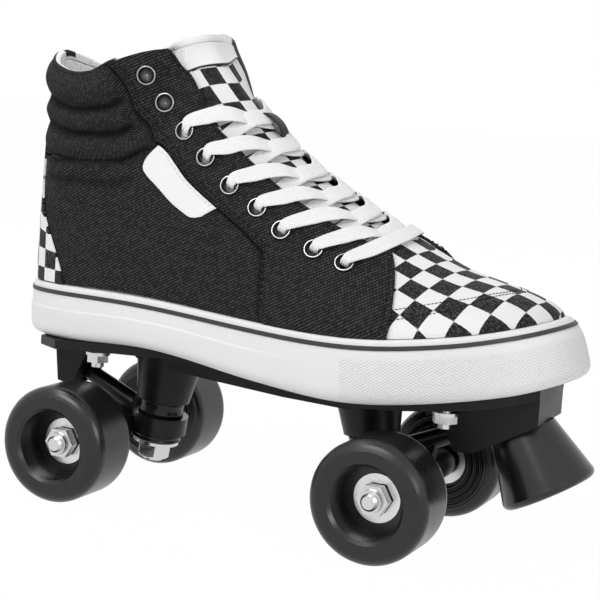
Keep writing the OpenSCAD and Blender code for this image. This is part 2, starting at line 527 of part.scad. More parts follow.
function lace_ring(k) =
  let (n = len(lace_line), s = lace_stops[k], d = unit(lace_line[min(k + 1, n - 1)] - lace_line[max(k - 1, 0)]),
    a0 = unit(along(s[0], s[1], s[2])), w = unit(a0 - (a0 * d) * d), t = cross(d, w), c = lace_line[k])
  [for (q = [[0.5, 0], [0.42, 0.5], [-0.42, 0.5], [-0.5, 0], [-0.42, -0.5], [0.42, -0.5]])
    c + q[0] * s[4] * w + q[1] * s[5] * t];
module laces() placed() color("white") loft([for (k = [0 : len(lace_line) - 1]) lace_ring(k)]);

// Loop of webbing on the tongue that keeps a crossing of the lace in place
loop_a = 0.622;
loop_r = 8.6;
loop_t = 1;
loop_w = 8;
loop_flat = 0.5;
module lace_loop() placed() color("#181818") {
  n = outward(loop_a, 1, 1);
  o = skin(loop_a, 1, 1) - (tongue_clear - seat) * n;
  f = cross([0, 1, 0], n);
  multmatrix([[f[0], n[0], 0, o[0]], [f[1], n[1], 1, o[1]], [f[2], n[2], 0, o[2]], [0, 0, 0, 1]])
    linear_extrude(height = loop_w, center = true)
      polygon(concat([for (k = [0 : 16]) [loop_r * cos(k * 11.25), loop_r * loop_flat * sin(k * 11.25) + 0.6]],
        [for (k = [16 : -1 : 0]) [(loop_r - loop_t) * cos(k * 11.25), (loop_r * loop_flat - loop_t) * sin(k * 11.25) + 0.6]]));
}

// Truck frame: origin on the axle, local X towards the middle of the skate
module truck(end) translate([end * wheelbase / 2, 0, axle_z]) mirror([end > 0 ? 1 : 0, 0, 0]) children();
module both() for (end = [-1, 1]) truck(end) children();
// Kingpin frame: origin at the ring's middle, Z up the kingpin
module on_king() translate([ring_ahead, 0, ring_above]) rotate([0, king_lean, 0]) children();
// Pivot frame: origin at the ring's middle, Z along the steering axis to the pivot
module on_pivot() translate([ring_ahead, 0, ring_above]) rotate([0, steer_tilt - 90, 0]) children();
king_r = king_d / 2;
boss_z = ring_h / 2 + cushion_h + 2 * seat;
washer_t = 1.5;
washer_z = -ring_h / 2 - low_cushion_h - 2 * seat;
king_nut_h = 7.5;
king_nut_z = washer_z - washer_t - seat;
king_end = king_nut_z - king_nut_h - 1.5;
king_top = boss_z + 13;
cup_wall = 2;
cup_len = 11;
cup_z = pivot_len - 5;
pivot_r = pivot_d / 2;
housing_r = pivot_r + cup_wall + 3;

// Plate: a flange under the sole, a beam between the trucks, bosses for the kingpins and housings for the pivots
plate_gap = 0.15;
plate_rear = -wheelbase / 2 - 34.5;
plate_front = wheelbase / 2 + 60;
plate_xs = [for (i = [0 : 22]) mix(plate_rear, plate_front, i / 22)];
module side_on(w) translate([0, w / 2, 0]) rotate([90, 0, 0]) linear_extrude(height = w) children();
module under_sole(down) polygon(concat([for (x = plate_xs) [x, low_at(x) - plate_gap]],
  down > 0 ? [for (k = [22 : -1 : 0]) [plate_xs[k], low_at(plate_xs[k]) - plate_gap - down]]
    : [[plate_front, 0], [plate_rear, 0]]));
function plan_half() = [[plate_rear, 0.36], [plate_rear + 14, 0.5], [-wheelbase / 2 + 24, 0.5], [-28, 0.34], [16, 0.34],
  [wheelbase / 2 - 30, 0.5], [wheelbase / 2 + 32, 0.5], [plate_front - 12, 0.42], [plate_front, 0.3]];
module plan() polygon(concat([for (p = plan_half()) [p[0], p[1] * plate_w]],
  [for (k = [len(plan_half()) - 1 : -1 : 0]) [plan_half()[k][0], -plan_half()[k][1] * plate_w]]));
fw = wheelbase / 2;
mouth = [fw - ring_ahead + (cup_z - 1.5) * cos(steer_tilt), axle_z + ring_above + (cup_z - 1.5) * sin(steer_tilt)];
module wedge() polygon([
  mouth + [-sin(steer_tilt), cos(steer_tilt)] * 11, mouth + [sin(steer_tilt), -cos(steer_tilt)] * 6.5,
  [stop_x, stop_z] + [-cos(stop_tilt), -sin(stop_tilt)] * 19.5, [stop_x, stop_z] + [cos(stop_tilt), sin(stop_tilt)] * 16.5,
  [plate_front, axle_z + 45], [plate_front + 0.5, ride + 20], [fw + 8, ride + 20], [fw + 8, ride - 6]]);
module rear_block() polygon([
  [-mouth[0], mouth[1]] + [sin(steer_tilt), cos(steer_tilt)] * 11, [-mouth[0], mouth[1]] + [-sin(steer_tilt), -cos(steer_tilt)] * 6.5,
  [plate_rear + 4, axle_z + 20], [plate_rear, ride + 20], [-fw - 8, ride + 20], [-fw - 8, ride - 4]]);
module beam() polygon([[-fw + 16, axle_z + 38], [-28, axle_z + 33], [16, axle_z + 30], [fw - 32, axle_z + 29],
  [fw - 16, axle_z + 33], [fw - 16, ride + 20], [-fw + 16, ride + 20]]);
stop_bolt_d = 8;
stop_bolt_in = 13;
module on_stop() translate([stop_x, 0, stop_z]) rotate([0, 180 - stop_tilt, 0]) children();
module plate() placed() color("#1c1c1c") difference() {
  union() {
    intersection() {
      side_on(2 * plate_w) under_sole(plate_t);
      translate([0, 0, 1]) linear_extrude(height = ride + 40) plan();
    }
    intersection() {
      side_on(2 * plate_w) under_sole(0);
      union() {
        side_on(beam_w) beam();
        side_on(stop_top_d + 6) wedge();
        side_on(2 * housing_r + 6) rear_block();
        both() on_king() translate([0, 0, boss_z]) cylinder(r1 = cushion_d / 2 + 2, r2 = cushion_d / 2 + 6, h = 26);
      }
    }
  }
  both() on_king() translate([0, 0, boss_z - 1]) cylinder(r = king_r + fit, h = king_top - boss_z + 1.5);
  both() on_pivot() translate([0, 0, cup_z - 9]) cylinder(r = pivot_r + cup_wall + fit, h = cup_len + 9.2);
  on_stop() translate([0, 0, -stop_bolt_in - 0.5]) cylinder(r = stop_bolt_d / 2 + fit, h = stop_bolt_in + 2);
  at_bolts() translate([0, 0, axle_z]) cylinder(r = bolt_d / 2 + seat, h = ride);
}

nut_h = 5;
nut_af = 10;
function nut_z(x) = min(low_at(x - 6), low_at(x + 6)) - plate_gap - plate_t - seat;
module mount_bolts() placed() color("silver")
  for (x = [rear_bolt_x, front_bolt_x], sd = [-1, 1]) translate([x, sd * bolt_gauge / 2, 0]) {
    translate([0, 0, nut_z(x) - nut_h - 2.5]) cylinder(d = bolt_d, h = head_z(x) - nut_z(x) + nut_h + 3, $fn = 32);
    translate([0, 0, head_z(x)]) cylinder(r = head_r, h = head_h);
  }
module mount_nuts() placed() color("silver")
  for (x = [rear_bolt_x, front_bolt_x], sd = [-1, 1]) translate([x, sd * bolt_gauge / 2, nut_z(x) - nut_h]) difference() {
    union() {
      cylinder(d = nut_af / cos(30), h = nut_h - 1, $fn = 6);
      translate([0, 0, nut_h - 1.5]) cylinder(d = nut_af + 2, h = 1.5);
    }
    translate([0, 0, -1]) cylinder(d = bolt_d + 2 * fit, h = nut_h + 2);
  }

// Toe stop: a turned rubber cone bolted to the plate's front face
stop_sink = 12;
module toe_stop() placed() color("#101010") on_stop() translate([0, 0, seat]) rotate_extrude($fn = 64) {
  r = stop_foot_d / 2;
  polygon(concat([[stop_bolt_d / 2 + seat, 0], [stop_top_d / 2, 0]],
    [for (k = [0 : 5]) [r - stop_round + stop_round * cos(k * 18), stop_h - seat - stop_round + stop_round * sin(k * 18)]],
    [[9, stop_h - seat], [9, stop_sink], [stop_bolt_d / 2 + seat, stop_sink]]));
}
stop_head_h = 5;
module toe_stop_bolt() placed() color("silver") on_stop() {
  translate([0, 0, -stop_bolt_in]) cylinder(d = stop_bolt_d, h = stop_bolt_in + stop_sink + 3);
  translate([0, 0, stop_sink + 2 * seat]) cylinder(r = 8.4, h = 1.4);
  translate([0, 0, stop_sink + 2 * seat + 1.4]) cylinder(d = 13 / cos(30), h = stop_head_h, $fn = 6);
}

module kingpins() placed() color("silver") both() on_king()
  translate([0, 0, king_end]) cylinder(r = king_r, h = king_top - king_end);
module kingpin_nuts() placed() color("silver") both() on_king() translate([0, 0, king_nut_z - king_nut_h]) difference() {
  intersection() {
    cylinder(d = (king_d + 5) / cos(30), h = king_nut_h, $fn = 6);
    cylinder(r1 = (king_d + 5) / 2 - 0.3, r2 = (king_d + 5) / 2 + king_nut_h, h = king_nut_h);
  }
  translate([0, 0, -1]) cylinder(r = king_r + fit, h = king_nut_h + 2);
}
module disc(r, bore, h) difference() {
  cylinder(r = r, h = h);
  translate([0, 0, -1]) cylinder(r = bore, h = h + 2);
}
module cushion_washers() placed() color("silver") both() on_king()
  translate([0, 0, washer_z - washer_t]) disc(cushion_d / 2, king_r + seat, washer_t);
module pivot_cups() placed() color("#303030") both() on_pivot() translate([0, 0, cup_z]) difference() {
  cylinder(r = pivot_r + cup_wall, h = cup_len);
  translate([0, 0, -1]) cylinder(r = pivot_r + run, h = pivot_len - cup_z + 1);
  translate([0, 0, pivot_len - cup_z]) sphere(r = pivot_r + run);
}
// Cushion: a turned rubber bush with a waist
module cushion(r, h) rotate_extrude($fn = 64)
  polygon([[king_r + 0.2, 0], [r - 0.8, 0], [r, 0.8], [r - 0.5, h / 2], [r, h - 0.8], [r - 0.8, h], [king_r + 0.2, h]]);
module upper(end) truck(end) on_king() translate([0, 0, ring_h / 2 + seat]) cushion(cushion_d / 2, cushion_h);
module lower(end) truck(end) on_king() translate([0, 0, -ring_h / 2 - seat - low_cushion_h]) cushion(cushion_d / 2 + 1, low_cushion_h);
module cushion_upper_front() placed() color("#202020") upper(1);
module cushion_lower_front() placed() color("#202020") lower(1);
module cushion_upper_rear() placed() color("#202020") upper(-1);
module cushion_lower_rear() placed() color("#202020") lower(-1);

// Hanger: kingpin ring, axle tube with shoulders for the bearings, webs and the pivot arm
ring_bore = king_r + 3;
tube_r = 7;
wheel_in = wheel_track / 2 - wheel_w / 2;
bear_out = wheel_track / 2 + wheel_w / 2 - wheel_recess_depth;
bear_in = bear_out - 2 * bearing_w - bearing_stop_w;
shim_t = 1;
tube_end = wheel_in - 0.9;
axle_r = bearing_bore / 2 - fit;
module across_y(y0, y1, r) translate([0, y0, 0]) rotate([-90, 0, 0]) cylinder(r = r, h = y1 - y0);
module hanger(end) truck(end) difference() {
  union() {
    on_king() translate([0, 0, -ring_h / 2]) cylinder(r = ring_d / 2, h = ring_h);
    across_y(-tube_end, tube_end, tube_r);
    across_y(-bear_in + shim_t + seat, bear_in - shim_t - seat, bearing_bore / 2 + 1.6);
    side_on(24) polygon([[-2, -6], [ring_ahead - 9, ring_above - 5], [ring_ahead - 9, ring_above + 3], [-2, 6.5]]);
    translate([0, 0, -2.5]) linear_extrude(height = 5) polygon([[-4, -tube_end], [2, -tube_end], [ring_ahead - 10, -11],
      [ring_ahead - 10, 11], [2, tube_end], [-4, tube_end]]);
    side_on(8) polygon([[-5, 2], [ring_ahead - 10, ring_above - 2], [ring_ahead - 9, ring_above + 4],
      [ring_ahead - (pivot_len - 18) * cos(steer_tilt), ring_above + (pivot_len - 18) * sin(steer_tilt) - 2]]);
    on_pivot() translate([0, 0, ring_bore + 2]) cylinder(r1 = 5.5, r2 = pivot_r, h = pivot_len - ring_bore - 8);
    on_pivot() translate([0, 0, pivot_len - 9]) cylinder(r = pivot_r, h = 9);
    on_pivot() translate([0, 0, pivot_len]) sphere(r = pivot_r);
  }
  on_king() translate([0, 0, -ring_h / 2 - 10]) cylinder(r = ring_bore, h = ring_h + 20);
  on_king() translate([0, 0, ring_h / 2]) cylinder(r = ring_d / 2 + 1, h = 12);
  on_king() translate([0, 0, -ring_h / 2 - 24]) cylinder(r = cushion_d / 2 + 2, h = 24);
  across_y(-bear_in, bear_in, bearing_bore / 2);
}
module hanger_front() placed() color("#181818") hanger(1);
module hanger_rear() placed() color("#181818") hanger(-1);

module axle(end) truck(end) difference() {
  across_y(-axle_len / 2, axle_len / 2, axle_r);
  for (sd = [-1, 1]) translate([0, sd * axle_len / 2, 0]) rotate([90 * sd, 0, 0])
    difference() {
      translate([0, 0, -1]) cylinder(r = axle_r + 2, h = 2);
      translate([0, 0, -0.01]) cylinder(r1 = axle_r - 1, r2 = axle_r + 0.02, h = 1.02);
    }
}
module axle_front() placed() color("silver") axle(1);
module axle_rear() placed() color("silver") axle(-1);

// What sits on the axle, once on each side, from the middle outwards
module each_side(end) truck(end) for (sd = [-1, 1]) rotate([-90 * sd, 0, 0]) children();
out_shim_z = bear_out + seat;
axle_nut_z = out_shim_z + shim_t + seat;
axle_nut_h = 6.5;
axle_nut_af = 13;
module axle_washers(end) each_side(end) {
  translate([0, 0, bear_in - shim_t - seat / 2]) disc(bearing_bore / 2 + 1.6, bearing_bore / 2, shim_t);
  translate([0, 0, out_shim_z]) disc(bearing_bore / 2 + 1.6, bearing_bore / 2, shim_t);
}
module axle_nuts(end) each_side(end) translate([0, 0, axle_nut_z]) difference() {
  union() {
    cylinder(d = axle_nut_af / cos(30), h = axle_nut_h - 2, $fn = 6);
    cylinder(d1 = axle_nut_af - 0.5, d2 = axle_nut_af - 3, h = axle_nut_h);
  }
  translate([0, 0, -1]) cylinder(r = bearing_bore / 2, h = axle_nut_h + 2);
}
module axle_nuts_front() placed() color("silver") axle_nuts(1);
module axle_nuts_rear() placed() color("silver") axle_nuts(-1);
module axle_washers_front() placed() color("silver") axle_washers(1);
module axle_washers_rear() placed() color("silver") axle_washers(-1);

// Bearing: inner ring on the axle, outer ring with shields in the wheel, balls between
ball_pitch_r = (bearing_bore + bearing_od) / 4;
race_gap = (bearing_od - bearing_bore) / 2 - 2 * 1.5;
ball_r = race_gap / 2 - run;
shield_t = 0.5;
shield_gap = 0.6;
module at_bearings(sd) rotate([-90 * sd, 0, 0]) for (z = [bear_in, bear_out - bearing_w]) translate([0, 0, z]) children();
module bearing_inners(end) truck(end) for (sd = [-1, 1]) {
  at_bearings(sd) disc(ball_pitch_r - race_gap / 2, bearing_bore / 2, bearing_w);
  rotate([-90 * sd, 0, 0]) translate([0, 0, bear_in + bearing_w + seat / 2])
    disc(bearing_bore / 2 + 1.5, bearing_bore / 2, bearing_stop_w - seat);
}
module bearing_inners_front() placed() color("silver") bearing_inners(1);
module bearing_inners_rear() placed() color("silver") bearing_inners(-1);
module bearing_outers(end, sd) truck(end) at_bearings(sd) {
  ri = ball_pitch_r + race_gap / 2;
  rs = ball_pitch_r - race_gap / 2 + shield_gap;
  rotate_extrude($fn = 64) polygon([[rs, 0], [bearing_od / 2, 0], [bearing_od / 2, bearing_w], [rs, bearing_w],
    [rs, bearing_w - shield_t], [ri, bearing_w - shield_t], [ri, shield_t], [rs, shield_t]]);
}
module bearing_balls(end, sd) truck(end) at_bearings(sd) for (k = [0 : ball_count - 1])
  rotate([0, 0, k * 360 / ball_count]) translate([ball_pitch_r, 0, bearing_w / 2]) sphere(r = ball_r, $fn = 24);
module bearing_outers_front_lateral() placed() color("silver") bearing_outers(1, -1);
module bearing_outers_front_medial() placed() color("silver") bearing_outers(1, 1);
module bearing_outers_rear_lateral() placed() color("silver") bearing_outers(-1, -1);
module bearing_outers_rear_medial() placed() color("silver") bearing_outers(-1, 1);
module bearing_balls_front_lateral() placed() color("silver") bearing_balls(1, -1);
module bearing_balls_front_medial() placed() color("silver") bearing_balls(1, 1);
module bearing_balls_rear_lateral() placed() color("silver") bearing_balls(-1, -1);
module bearing_balls_rear_medial() placed() color("silver") bearing_balls(-1, 1);

// Wheel: a turned tyre with a deep outer recess, seats for two bearings and fine rings on its inner face
wheel_bore_in = bearing_od / 2 + 1.5;
wheel_ring_deep = 0.6;
module wheel(end, sd) truck(end) rotate([-90 * sd, 0, 0]) rotate_extrude($fn = 96) {
  r = wheel_d / 2;
  y0 = wheel_in;
  y1 = wheel_in + wheel_w;
  g0 = wheel_bore_in + 1;
  g1 = r - wheel_lip_r - 0.5;
  gp = (g1 - g0) / wheel_ring_count;
  polygon(concat(
    [for (k = [0 : wheel_ring_count - 1]) each [[g0 + k * gp, y0], [g0 + (k + 0.25) * gp, y0 + wheel_ring_deep],
      [g0 + (k + 0.5) * gp, y0 + wheel_ring_deep], [g0 + (k + 0.75) * gp, y0]]],
    [for (k = [0 : 6]) [r - wheel_lip_r + wheel_lip_r * sin(k * 15), y0 + wheel_lip_r - wheel_lip_r * cos(k * 15)]],
    [for (k = [0 : 6]) [r - wheel_lip_r + wheel_lip_r * cos(k * 15), y1 - wheel_lip_r + wheel_lip_r * sin(k * 15)]],
    [[wheel_recess_d / 2 + 1.5, y1], [wheel_recess_d / 2, y1 - 1.5], [wheel_recess_d / 2 - 1, bear_out - 0.5],
     [bearing_od / 2 + fit, bear_out - 0.5], [bearing_od / 2 + fit, bear_out - bearing_w - fit],
     [bearing_od / 2 - 1.2, bear_out - bearing_w - fit], [bearing_od / 2 - 1.2, bear_in + bearing_w + fit],
     [bearing_od / 2 + fit, bear_in + bearing_w + fit], [bearing_od / 2 + fit, bear_in - 0.2],
     [wheel_bore_in, bear_in - 0.2], [wheel_bore_in, y0]]));
}
module wheel_front_lateral() placed() color("#161616") wheel(1, -1);
module wheel_front_medial() placed() color("#161616") wheel(1, 1);
module wheel_rear_lateral() placed() color("#161616") wheel(-1, -1);
module wheel_rear_medial() placed() color("#161616") wheel(-1, 1);

midsole();
foxing();
toe_bumper();
foxing_stripe();
insole_board();
insole();
lining();
quarter_lateral();
quarter_medial();
ankle_collar();
heel_counter();
toe_cap();
eyestay_lateral();
eyestay_medial();
side_tag();
eyelets_lateral();
eyelets_medial();
tongue();
tongue_binding();
tongue_label();
laces();
lace_loop();
plate();
mount_bolts();
mount_nuts();
toe_stop();
toe_stop_bolt();
kingpins();
kingpin_nuts();
pivot_cups();
cushion_washers();
cushion_upper_front();
cushion_lower_front();
cushion_upper_rear();
cushion_lower_rear();
hanger_front();
hanger_rear();
axle_front();
axle_rear();
axle_nuts_front();
axle_nuts_rear();
axle_washers_front();
axle_washers_rear();
bearing_inners_front();
bearing_inners_rear();
wheel_front_lateral();
wheel_front_medial();
wheel_rear_lateral();
wheel_rear_medial();
bearing_outers_front_lateral();
bearing_outers_front_medial();
bearing_outers_rear_lateral();
bearing_outers_rear_medial();
bearing_balls_front_lateral();
bearing_balls_front_medial();
bearing_balls_rear_lateral();
bearing_balls_rear_medial();
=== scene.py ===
"""Looks of a quad roller skate: a laced high-top canvas boot on a nylon plate with trucks and wheels.

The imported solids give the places. Soft and moulded pieces are built here as surfaces on grids, in the same
millimetres as the part's source, and rigid pieces keep their solids and get materials.
"""
import math

import bmesh
import bpy
import numpy as np
from bpy.props import FloatProperty, FloatVectorProperty, PointerProperty
from mathutils import Matrix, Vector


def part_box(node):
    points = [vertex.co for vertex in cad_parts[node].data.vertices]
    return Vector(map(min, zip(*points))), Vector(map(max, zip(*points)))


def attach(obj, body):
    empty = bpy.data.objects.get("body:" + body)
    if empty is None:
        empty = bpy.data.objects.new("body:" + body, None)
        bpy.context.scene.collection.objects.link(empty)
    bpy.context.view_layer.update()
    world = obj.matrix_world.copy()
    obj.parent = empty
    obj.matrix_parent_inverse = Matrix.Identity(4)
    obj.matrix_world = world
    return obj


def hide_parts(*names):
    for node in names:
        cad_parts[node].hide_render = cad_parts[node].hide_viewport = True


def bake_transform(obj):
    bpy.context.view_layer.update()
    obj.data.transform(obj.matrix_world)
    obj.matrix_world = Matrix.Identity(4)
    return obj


bl_info = {
    "name": "Quad Roller Skate",
    "version": (1, 0, 0),
    "blender": (4, 5, 0),
    "location": "View3D > Sidebar > Skate",
    "description": "Dresses the solids of a high-top quad roller skate",
    "category": "Add Mesh",
}

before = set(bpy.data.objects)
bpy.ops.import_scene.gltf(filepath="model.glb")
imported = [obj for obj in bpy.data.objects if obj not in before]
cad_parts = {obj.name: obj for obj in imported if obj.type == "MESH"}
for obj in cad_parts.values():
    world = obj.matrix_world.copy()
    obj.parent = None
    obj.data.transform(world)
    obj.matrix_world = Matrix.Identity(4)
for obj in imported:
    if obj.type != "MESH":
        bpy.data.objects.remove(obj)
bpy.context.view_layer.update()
BOOT = "boot_and_plate"

MM = 0.001
SIDES = (("lateral", -1.0), ("medial", 1.0))
ENDS = ("front", "rear")
CORNERS = [f"{end}_{side}" for end in ENDS for side, _ in SIDES]

# Sizes that the source gives, in millimetres. The rear wheel's box gives the place of the source's own zero.
WHEELBASE = 161.3
SOLE_OVER_AXLE = 38.7
_low, _high = (np.array(corner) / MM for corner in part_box("wheel_rear_lateral"))
MID_X = -WHEELBASE / 2 - (_low[0] + _high[0]) / 2
AXLE_Z = (_low[2] + _high[2]) / 2
RIDE = AXLE_Z + SOLE_OVER_AXLE
HEEL_X = -129.0
LAST = 277.5
FOXING_T = 3.8
SOLE_INSET = 0.8
FOOT_V = 0.006

# Heights over the boot's skin: base ply, overlaid ply and lining
BASE_HI, BASE_LO = -0.1, -1.35
OVER_LO, OVER_HI = 0.15, 1.4
LINING_HI, LINING_LO = -2.1, -3.35

# Eyelets, lace and tongue
EYELET_HOLE_R = 2.9
EYELET_R = 4.75
LACE_T = 1.2
TONGUE_T = 4.0
TONGUE_CLEAR = 2.4

# Tables of the boot's form, as in the source: place a runs from the toe, 0, to the heel, 1
BODY_S = [0, 0.12, 0.3, 0.5, 0.7, 0.85, 1]
BODY_W = [34, 34, 33.5, 39, 46.5, 46, 42]
BEND_S = [0, 0.3, 0.6, 1]
BEND_Y = [0, 0, -1, 6]
TOP_S = [0, 0.21, 0.68, 0.843, 0.933, 1]
TOP_Z = [31, 32.5, 28.9, 33.8, 39, 44.2]
TOE_TUCK = 8.0
LOW_S = [0, 0.105, 0.285, 0.52, 0.68, 0.843, 0.933, 1.03]
LOW_Z = [5, 5.5, 8, 2, 0, 5, 10, 18.5]

# Ribs by place: the upper end's x, half width, z and slope in x, y and z, the foot's slope in z and y, a tilt
RIB_A = [0, 0.12, 0.24, 0.34, 0.43, 0.51, 0.58, 0.64, 0.69, 0.745, 0.83, 0.9, 0.95, 0.98, 1]
RIB = [
    [261, 0, 49.6, -12, 0, 4, 9, 0, 0], [253, 0, 52.4, -4, 34, 0, 14, 3, 0],
    [240.5, 0, 55.8, -2, 50, 0, 22, 3, 0], [224.5, 0, 60, 0, 60, 0, 34, 2, 2],
    [204, 0, 69, 0, 72, 0, 48, 0, 10], [175, 0, 83.6, 0, 84, 0, 70, 0, 15],
    [144, 0, 102, 0, 92, 0, 95, 0, 14], [118, 0, 124.7, 0, 92, 0, 120, 0, 12],
    [97, 0, 148.5, 0, 80, 0, 140, 0, 0], [75, 26, 148.5, 0, 4, 60, 110, 0, 0],
    [37, 31, 136.5, 0, 0, 60, 100, 0, 0], [16.2, 23.3, 139.2, -2, 1, 60, 100, 0, 0],
    [8.7, 13.5, 142, -3, 1, 60, 100, 0, 0], [6, 5.6, 143.7, -3, 0.5, 60, 100, 0, 0],
    [5.5, 0, 144.5, -3, 0, 60, 100, 0, 0]]

# Edges of the panels, as places a by heights v up the rib or heights by places
QUARTER_A = [0.475, 0.5, 0.53, 0.6, 0.65, 0.69, 0.75, 0.81, 0.9, 1]
QUARTER_V = [0.05, 0.25, 0.43, 0.5, 0.495, 0.455, 0.5, 0.54, 0.53, 0.5]
COLLAR_V = [0.45, 0.47, 0.53, 0.75, 0.89, 1]
COLLAR_A = [0.648, 0.652, 0.697, 0.75, 0.777, 0.79]
LINING_V = [-0.02, 0.1, 0.4, 0.55, 0.75, 1]
LINING_A = [0.49, 0.505, 0.55, 0.7, 0.745, 0.785]
COUNTER_V = [0, 0.1, 0.2, 0.3, 0.42, 0.62]
COUNTER_A = [0.79, 0.813, 0.845, 0.89, 0.925, 0.945]
COUNTER_TOP = 0.62
CAP_V = [0, 0.243, 0.543, 0.69, 0.757, 1]
CAP_A = [0.347, 0.356, 0.404, 0.438, 0.447, 0.447]
STAY_P = [0, 0.12, 0.27, 0.36, 0.45, 0.55, 0.65, 0.75, 0.84, 0.92, 1]
STAY_B = [[0.338, FOOT_V], [0.4, FOOT_V], [0.485, FOOT_V], [0.502, 0.2], [0.53, 0.4], [0.565, 0.447],
          [0.61, 0.464], [0.655, 0.473], [0.694, 0.48], [0.752, 0.7], [0.797, 1]]
STAY_F = [[0.441, 0.757], [0.474, 0.73], [0.51, 0.72], [0.54, 0.716], [0.572, 0.715], [0.605, 0.715],
          [0.635, 0.708], [0.662, 0.69], [0.69, 0.73], [0.716, 0.83], [0.737, 1]]
STAY_IN = [0.05, 0.05, 0.05, 0.05, 0.05, 0.05, 0, -0.06, -0.06, -0.06, 0]
CAP_BOW = 0.03
TOE_ROWS = [
    ([0.14, 0.174, 0.232, 0.262, 0.297, 0.325, 0.358], [0.97, 0.804, 0.645, 0.555, 0.479, 0.403, 0.31]),
    ([0.12, 0.193, 0.239, 0.256, 0.285, 0.313, 0.35], [0.86, 0.69, 0.55, 0.47, 0.373, 0.297, 0.21])]
EYELETS = np.array([[0.751, 0.852], [0.71, 0.64], [0.669, 0.57], [0.64, 0.582], [0.605, 0.568], [0.57, 0.567],
                    [0.536, 0.54], [0.496, 0.537], [0.459, 0.545]])

# The tongue by shares of its length: middle line, tilt, half width, depth of its bow, where the bow flattens
TONGUE_L = [0, 0.15, 0.35, 0.55, 0.72, 0.87, 1]
TONGUE_C = [[220, 57.2], [203, 65.4], [174, 80.3], [142.5, 99.5], [116, 122.4], [94.5, 146.5], [90, 157]]
TONGUE_TILT = [0, 1.4, 2.9, 3.1, 2.4, 1, 0]
FLAT_L = [0, 0.7, 0.77, 0.84, 1]
FLAT_BOW = [1, 1, 0.45, 0.08, 0]
LABEL_LOW, PRINT_BOW = 0.845, 0.064
TONGUE_HW = [15, 17, 19.5, 20.6, 20, 18.6, 19.5]
TONGUE_DEP = [6, 8, 11, 14, 17.8, 18.5, 12.5]

# The collar's channels, and the height of the rolls between them
CHANNELS = np.array([0, 0.3, 0.56, 1])
ROLL_SHARE = np.array([0.75, 0.8, 1.0])
ROLL_H = 3.3

# The quarter's low roll: the line of its lower channel, and its height
QUARTER_ENDS = 0.476, 0.996
LOW_ROLL_A = [0.476, 0.69, 0.72, 0.775, 0.82, 1]
LOW_ROLL_V = [0.36, 0.365, 0.38, 0.43, 0.452, 0.44]
LOW_ROLL_H = 1.1

# The painted shade beside a seam: millimetres for a unit of a and v, and its width
SKIN_SCALE, SEAM_SHADE_W = np.array([330, 115]), 1.3

# How far along its length the inner eyestay's front corner is drawn out, and by how much forward and up
INNER_CORNER_P, INNER_CORNER_A, INNER_CORNER_V = 0.12, 0.03, 0.13

# The tag, from its lower to its upper end: place along the seam, lean of its free edge, both edges' heights
TAG_A, TAG_LEAN = (0.601, 0.688), (0.0115, 0.0215)
TAG_FREE_V, TAG_SEAM_V = (0.361, 0.372), (0.4575, 0.472)
TAG_H = 0.9

# Turn of the canvas's threads in radians, and where the wheels' inner faces end, in metres from the middle
CANVAS_TURN = 0.5
WHEEL_FACE = (0.0317, 0.0322)


class SkateLooks(bpy.types.PropertyGroup):
    """Sizes and colours of the skate's looks"""
    canvas_pitch: FloatProperty(
        name="Canvas pitch", description="Distance between two threads of the black canvas",
        default=0.0013, min=0.0004, max=0.003, precision=5, unit="LENGTH")
    print_pitch: FloatProperty(
        name="Print pitch", description="Distance between two threads of the checked canvas",
        default=0.0008, min=0.0004, max=0.003, precision=5, unit="LENGTH")
    check_size: FloatProperty(
        name="Check size", description="Side of one square of the checked print",
        default=0.0098, min=0.004, max=0.03, precision=4, unit="LENGTH")
    lace_width: FloatProperty(
        name="Lace width", description="Width of the flat lace where it lies free",
        default=0.0078, min=0.004, max=0.009, precision=4, unit="LENGTH")
    stitch_pitch: FloatProperty(
        name="Stitch pitch", description="Distance between the starts of two stitches",
        default=0.0032, min=0.002, max=0.006, precision=4, unit="LENGTH")
    canvas_colour: FloatVectorProperty(
        name="Canvas", description="Black canvas of the boot", subtype="COLOR",
        default=(0.0125, 0.0125, 0.013), min=0, max=1)
    print_dark: FloatVectorProperty(
        name="Print, dark", description="Dark squares of the print", subtype="COLOR",
        default=(0.004, 0.004, 0.004), min=0, max=1)
    print_pale: FloatVectorProperty(
        name="Print, pale", description="Pale squares of the print", subtype="COLOR",
        default=(0.8, 0.8, 0.8), min=0, max=1)
    rubber_colour: FloatVectorProperty(
        name="Sole rubber", description="White rubber of the sole", subtype="COLOR",
        default=(0.74, 0.74, 0.74), min=0, max=1)
    lace_colour: FloatVectorProperty(
        name="Lace", description="Cotton of the lace", subtype="COLOR",
        default=(0.8, 0.8, 0.8), min=0, max=1)
    lining_colour: FloatVectorProperty(
        name="Lining", description="Cloth inside the boot", subtype="COLOR",
        default=(0.93, 0.93, 0.92), min=0, max=1)
    wheel_colour: FloatVectorProperty(
        name="Wheels", description="Cast urethane of the wheels", subtype="COLOR",
        default=(0.012, 0.012, 0.0125), min=0, max=1)
    steel_colour: FloatVectorProperty(
        name="Steel", description="Plated nuts, bolts and axles", subtype="COLOR",
        default=(0.72, 0.72, 0.72), min=0, max=1)


# Curves and the boot's skin


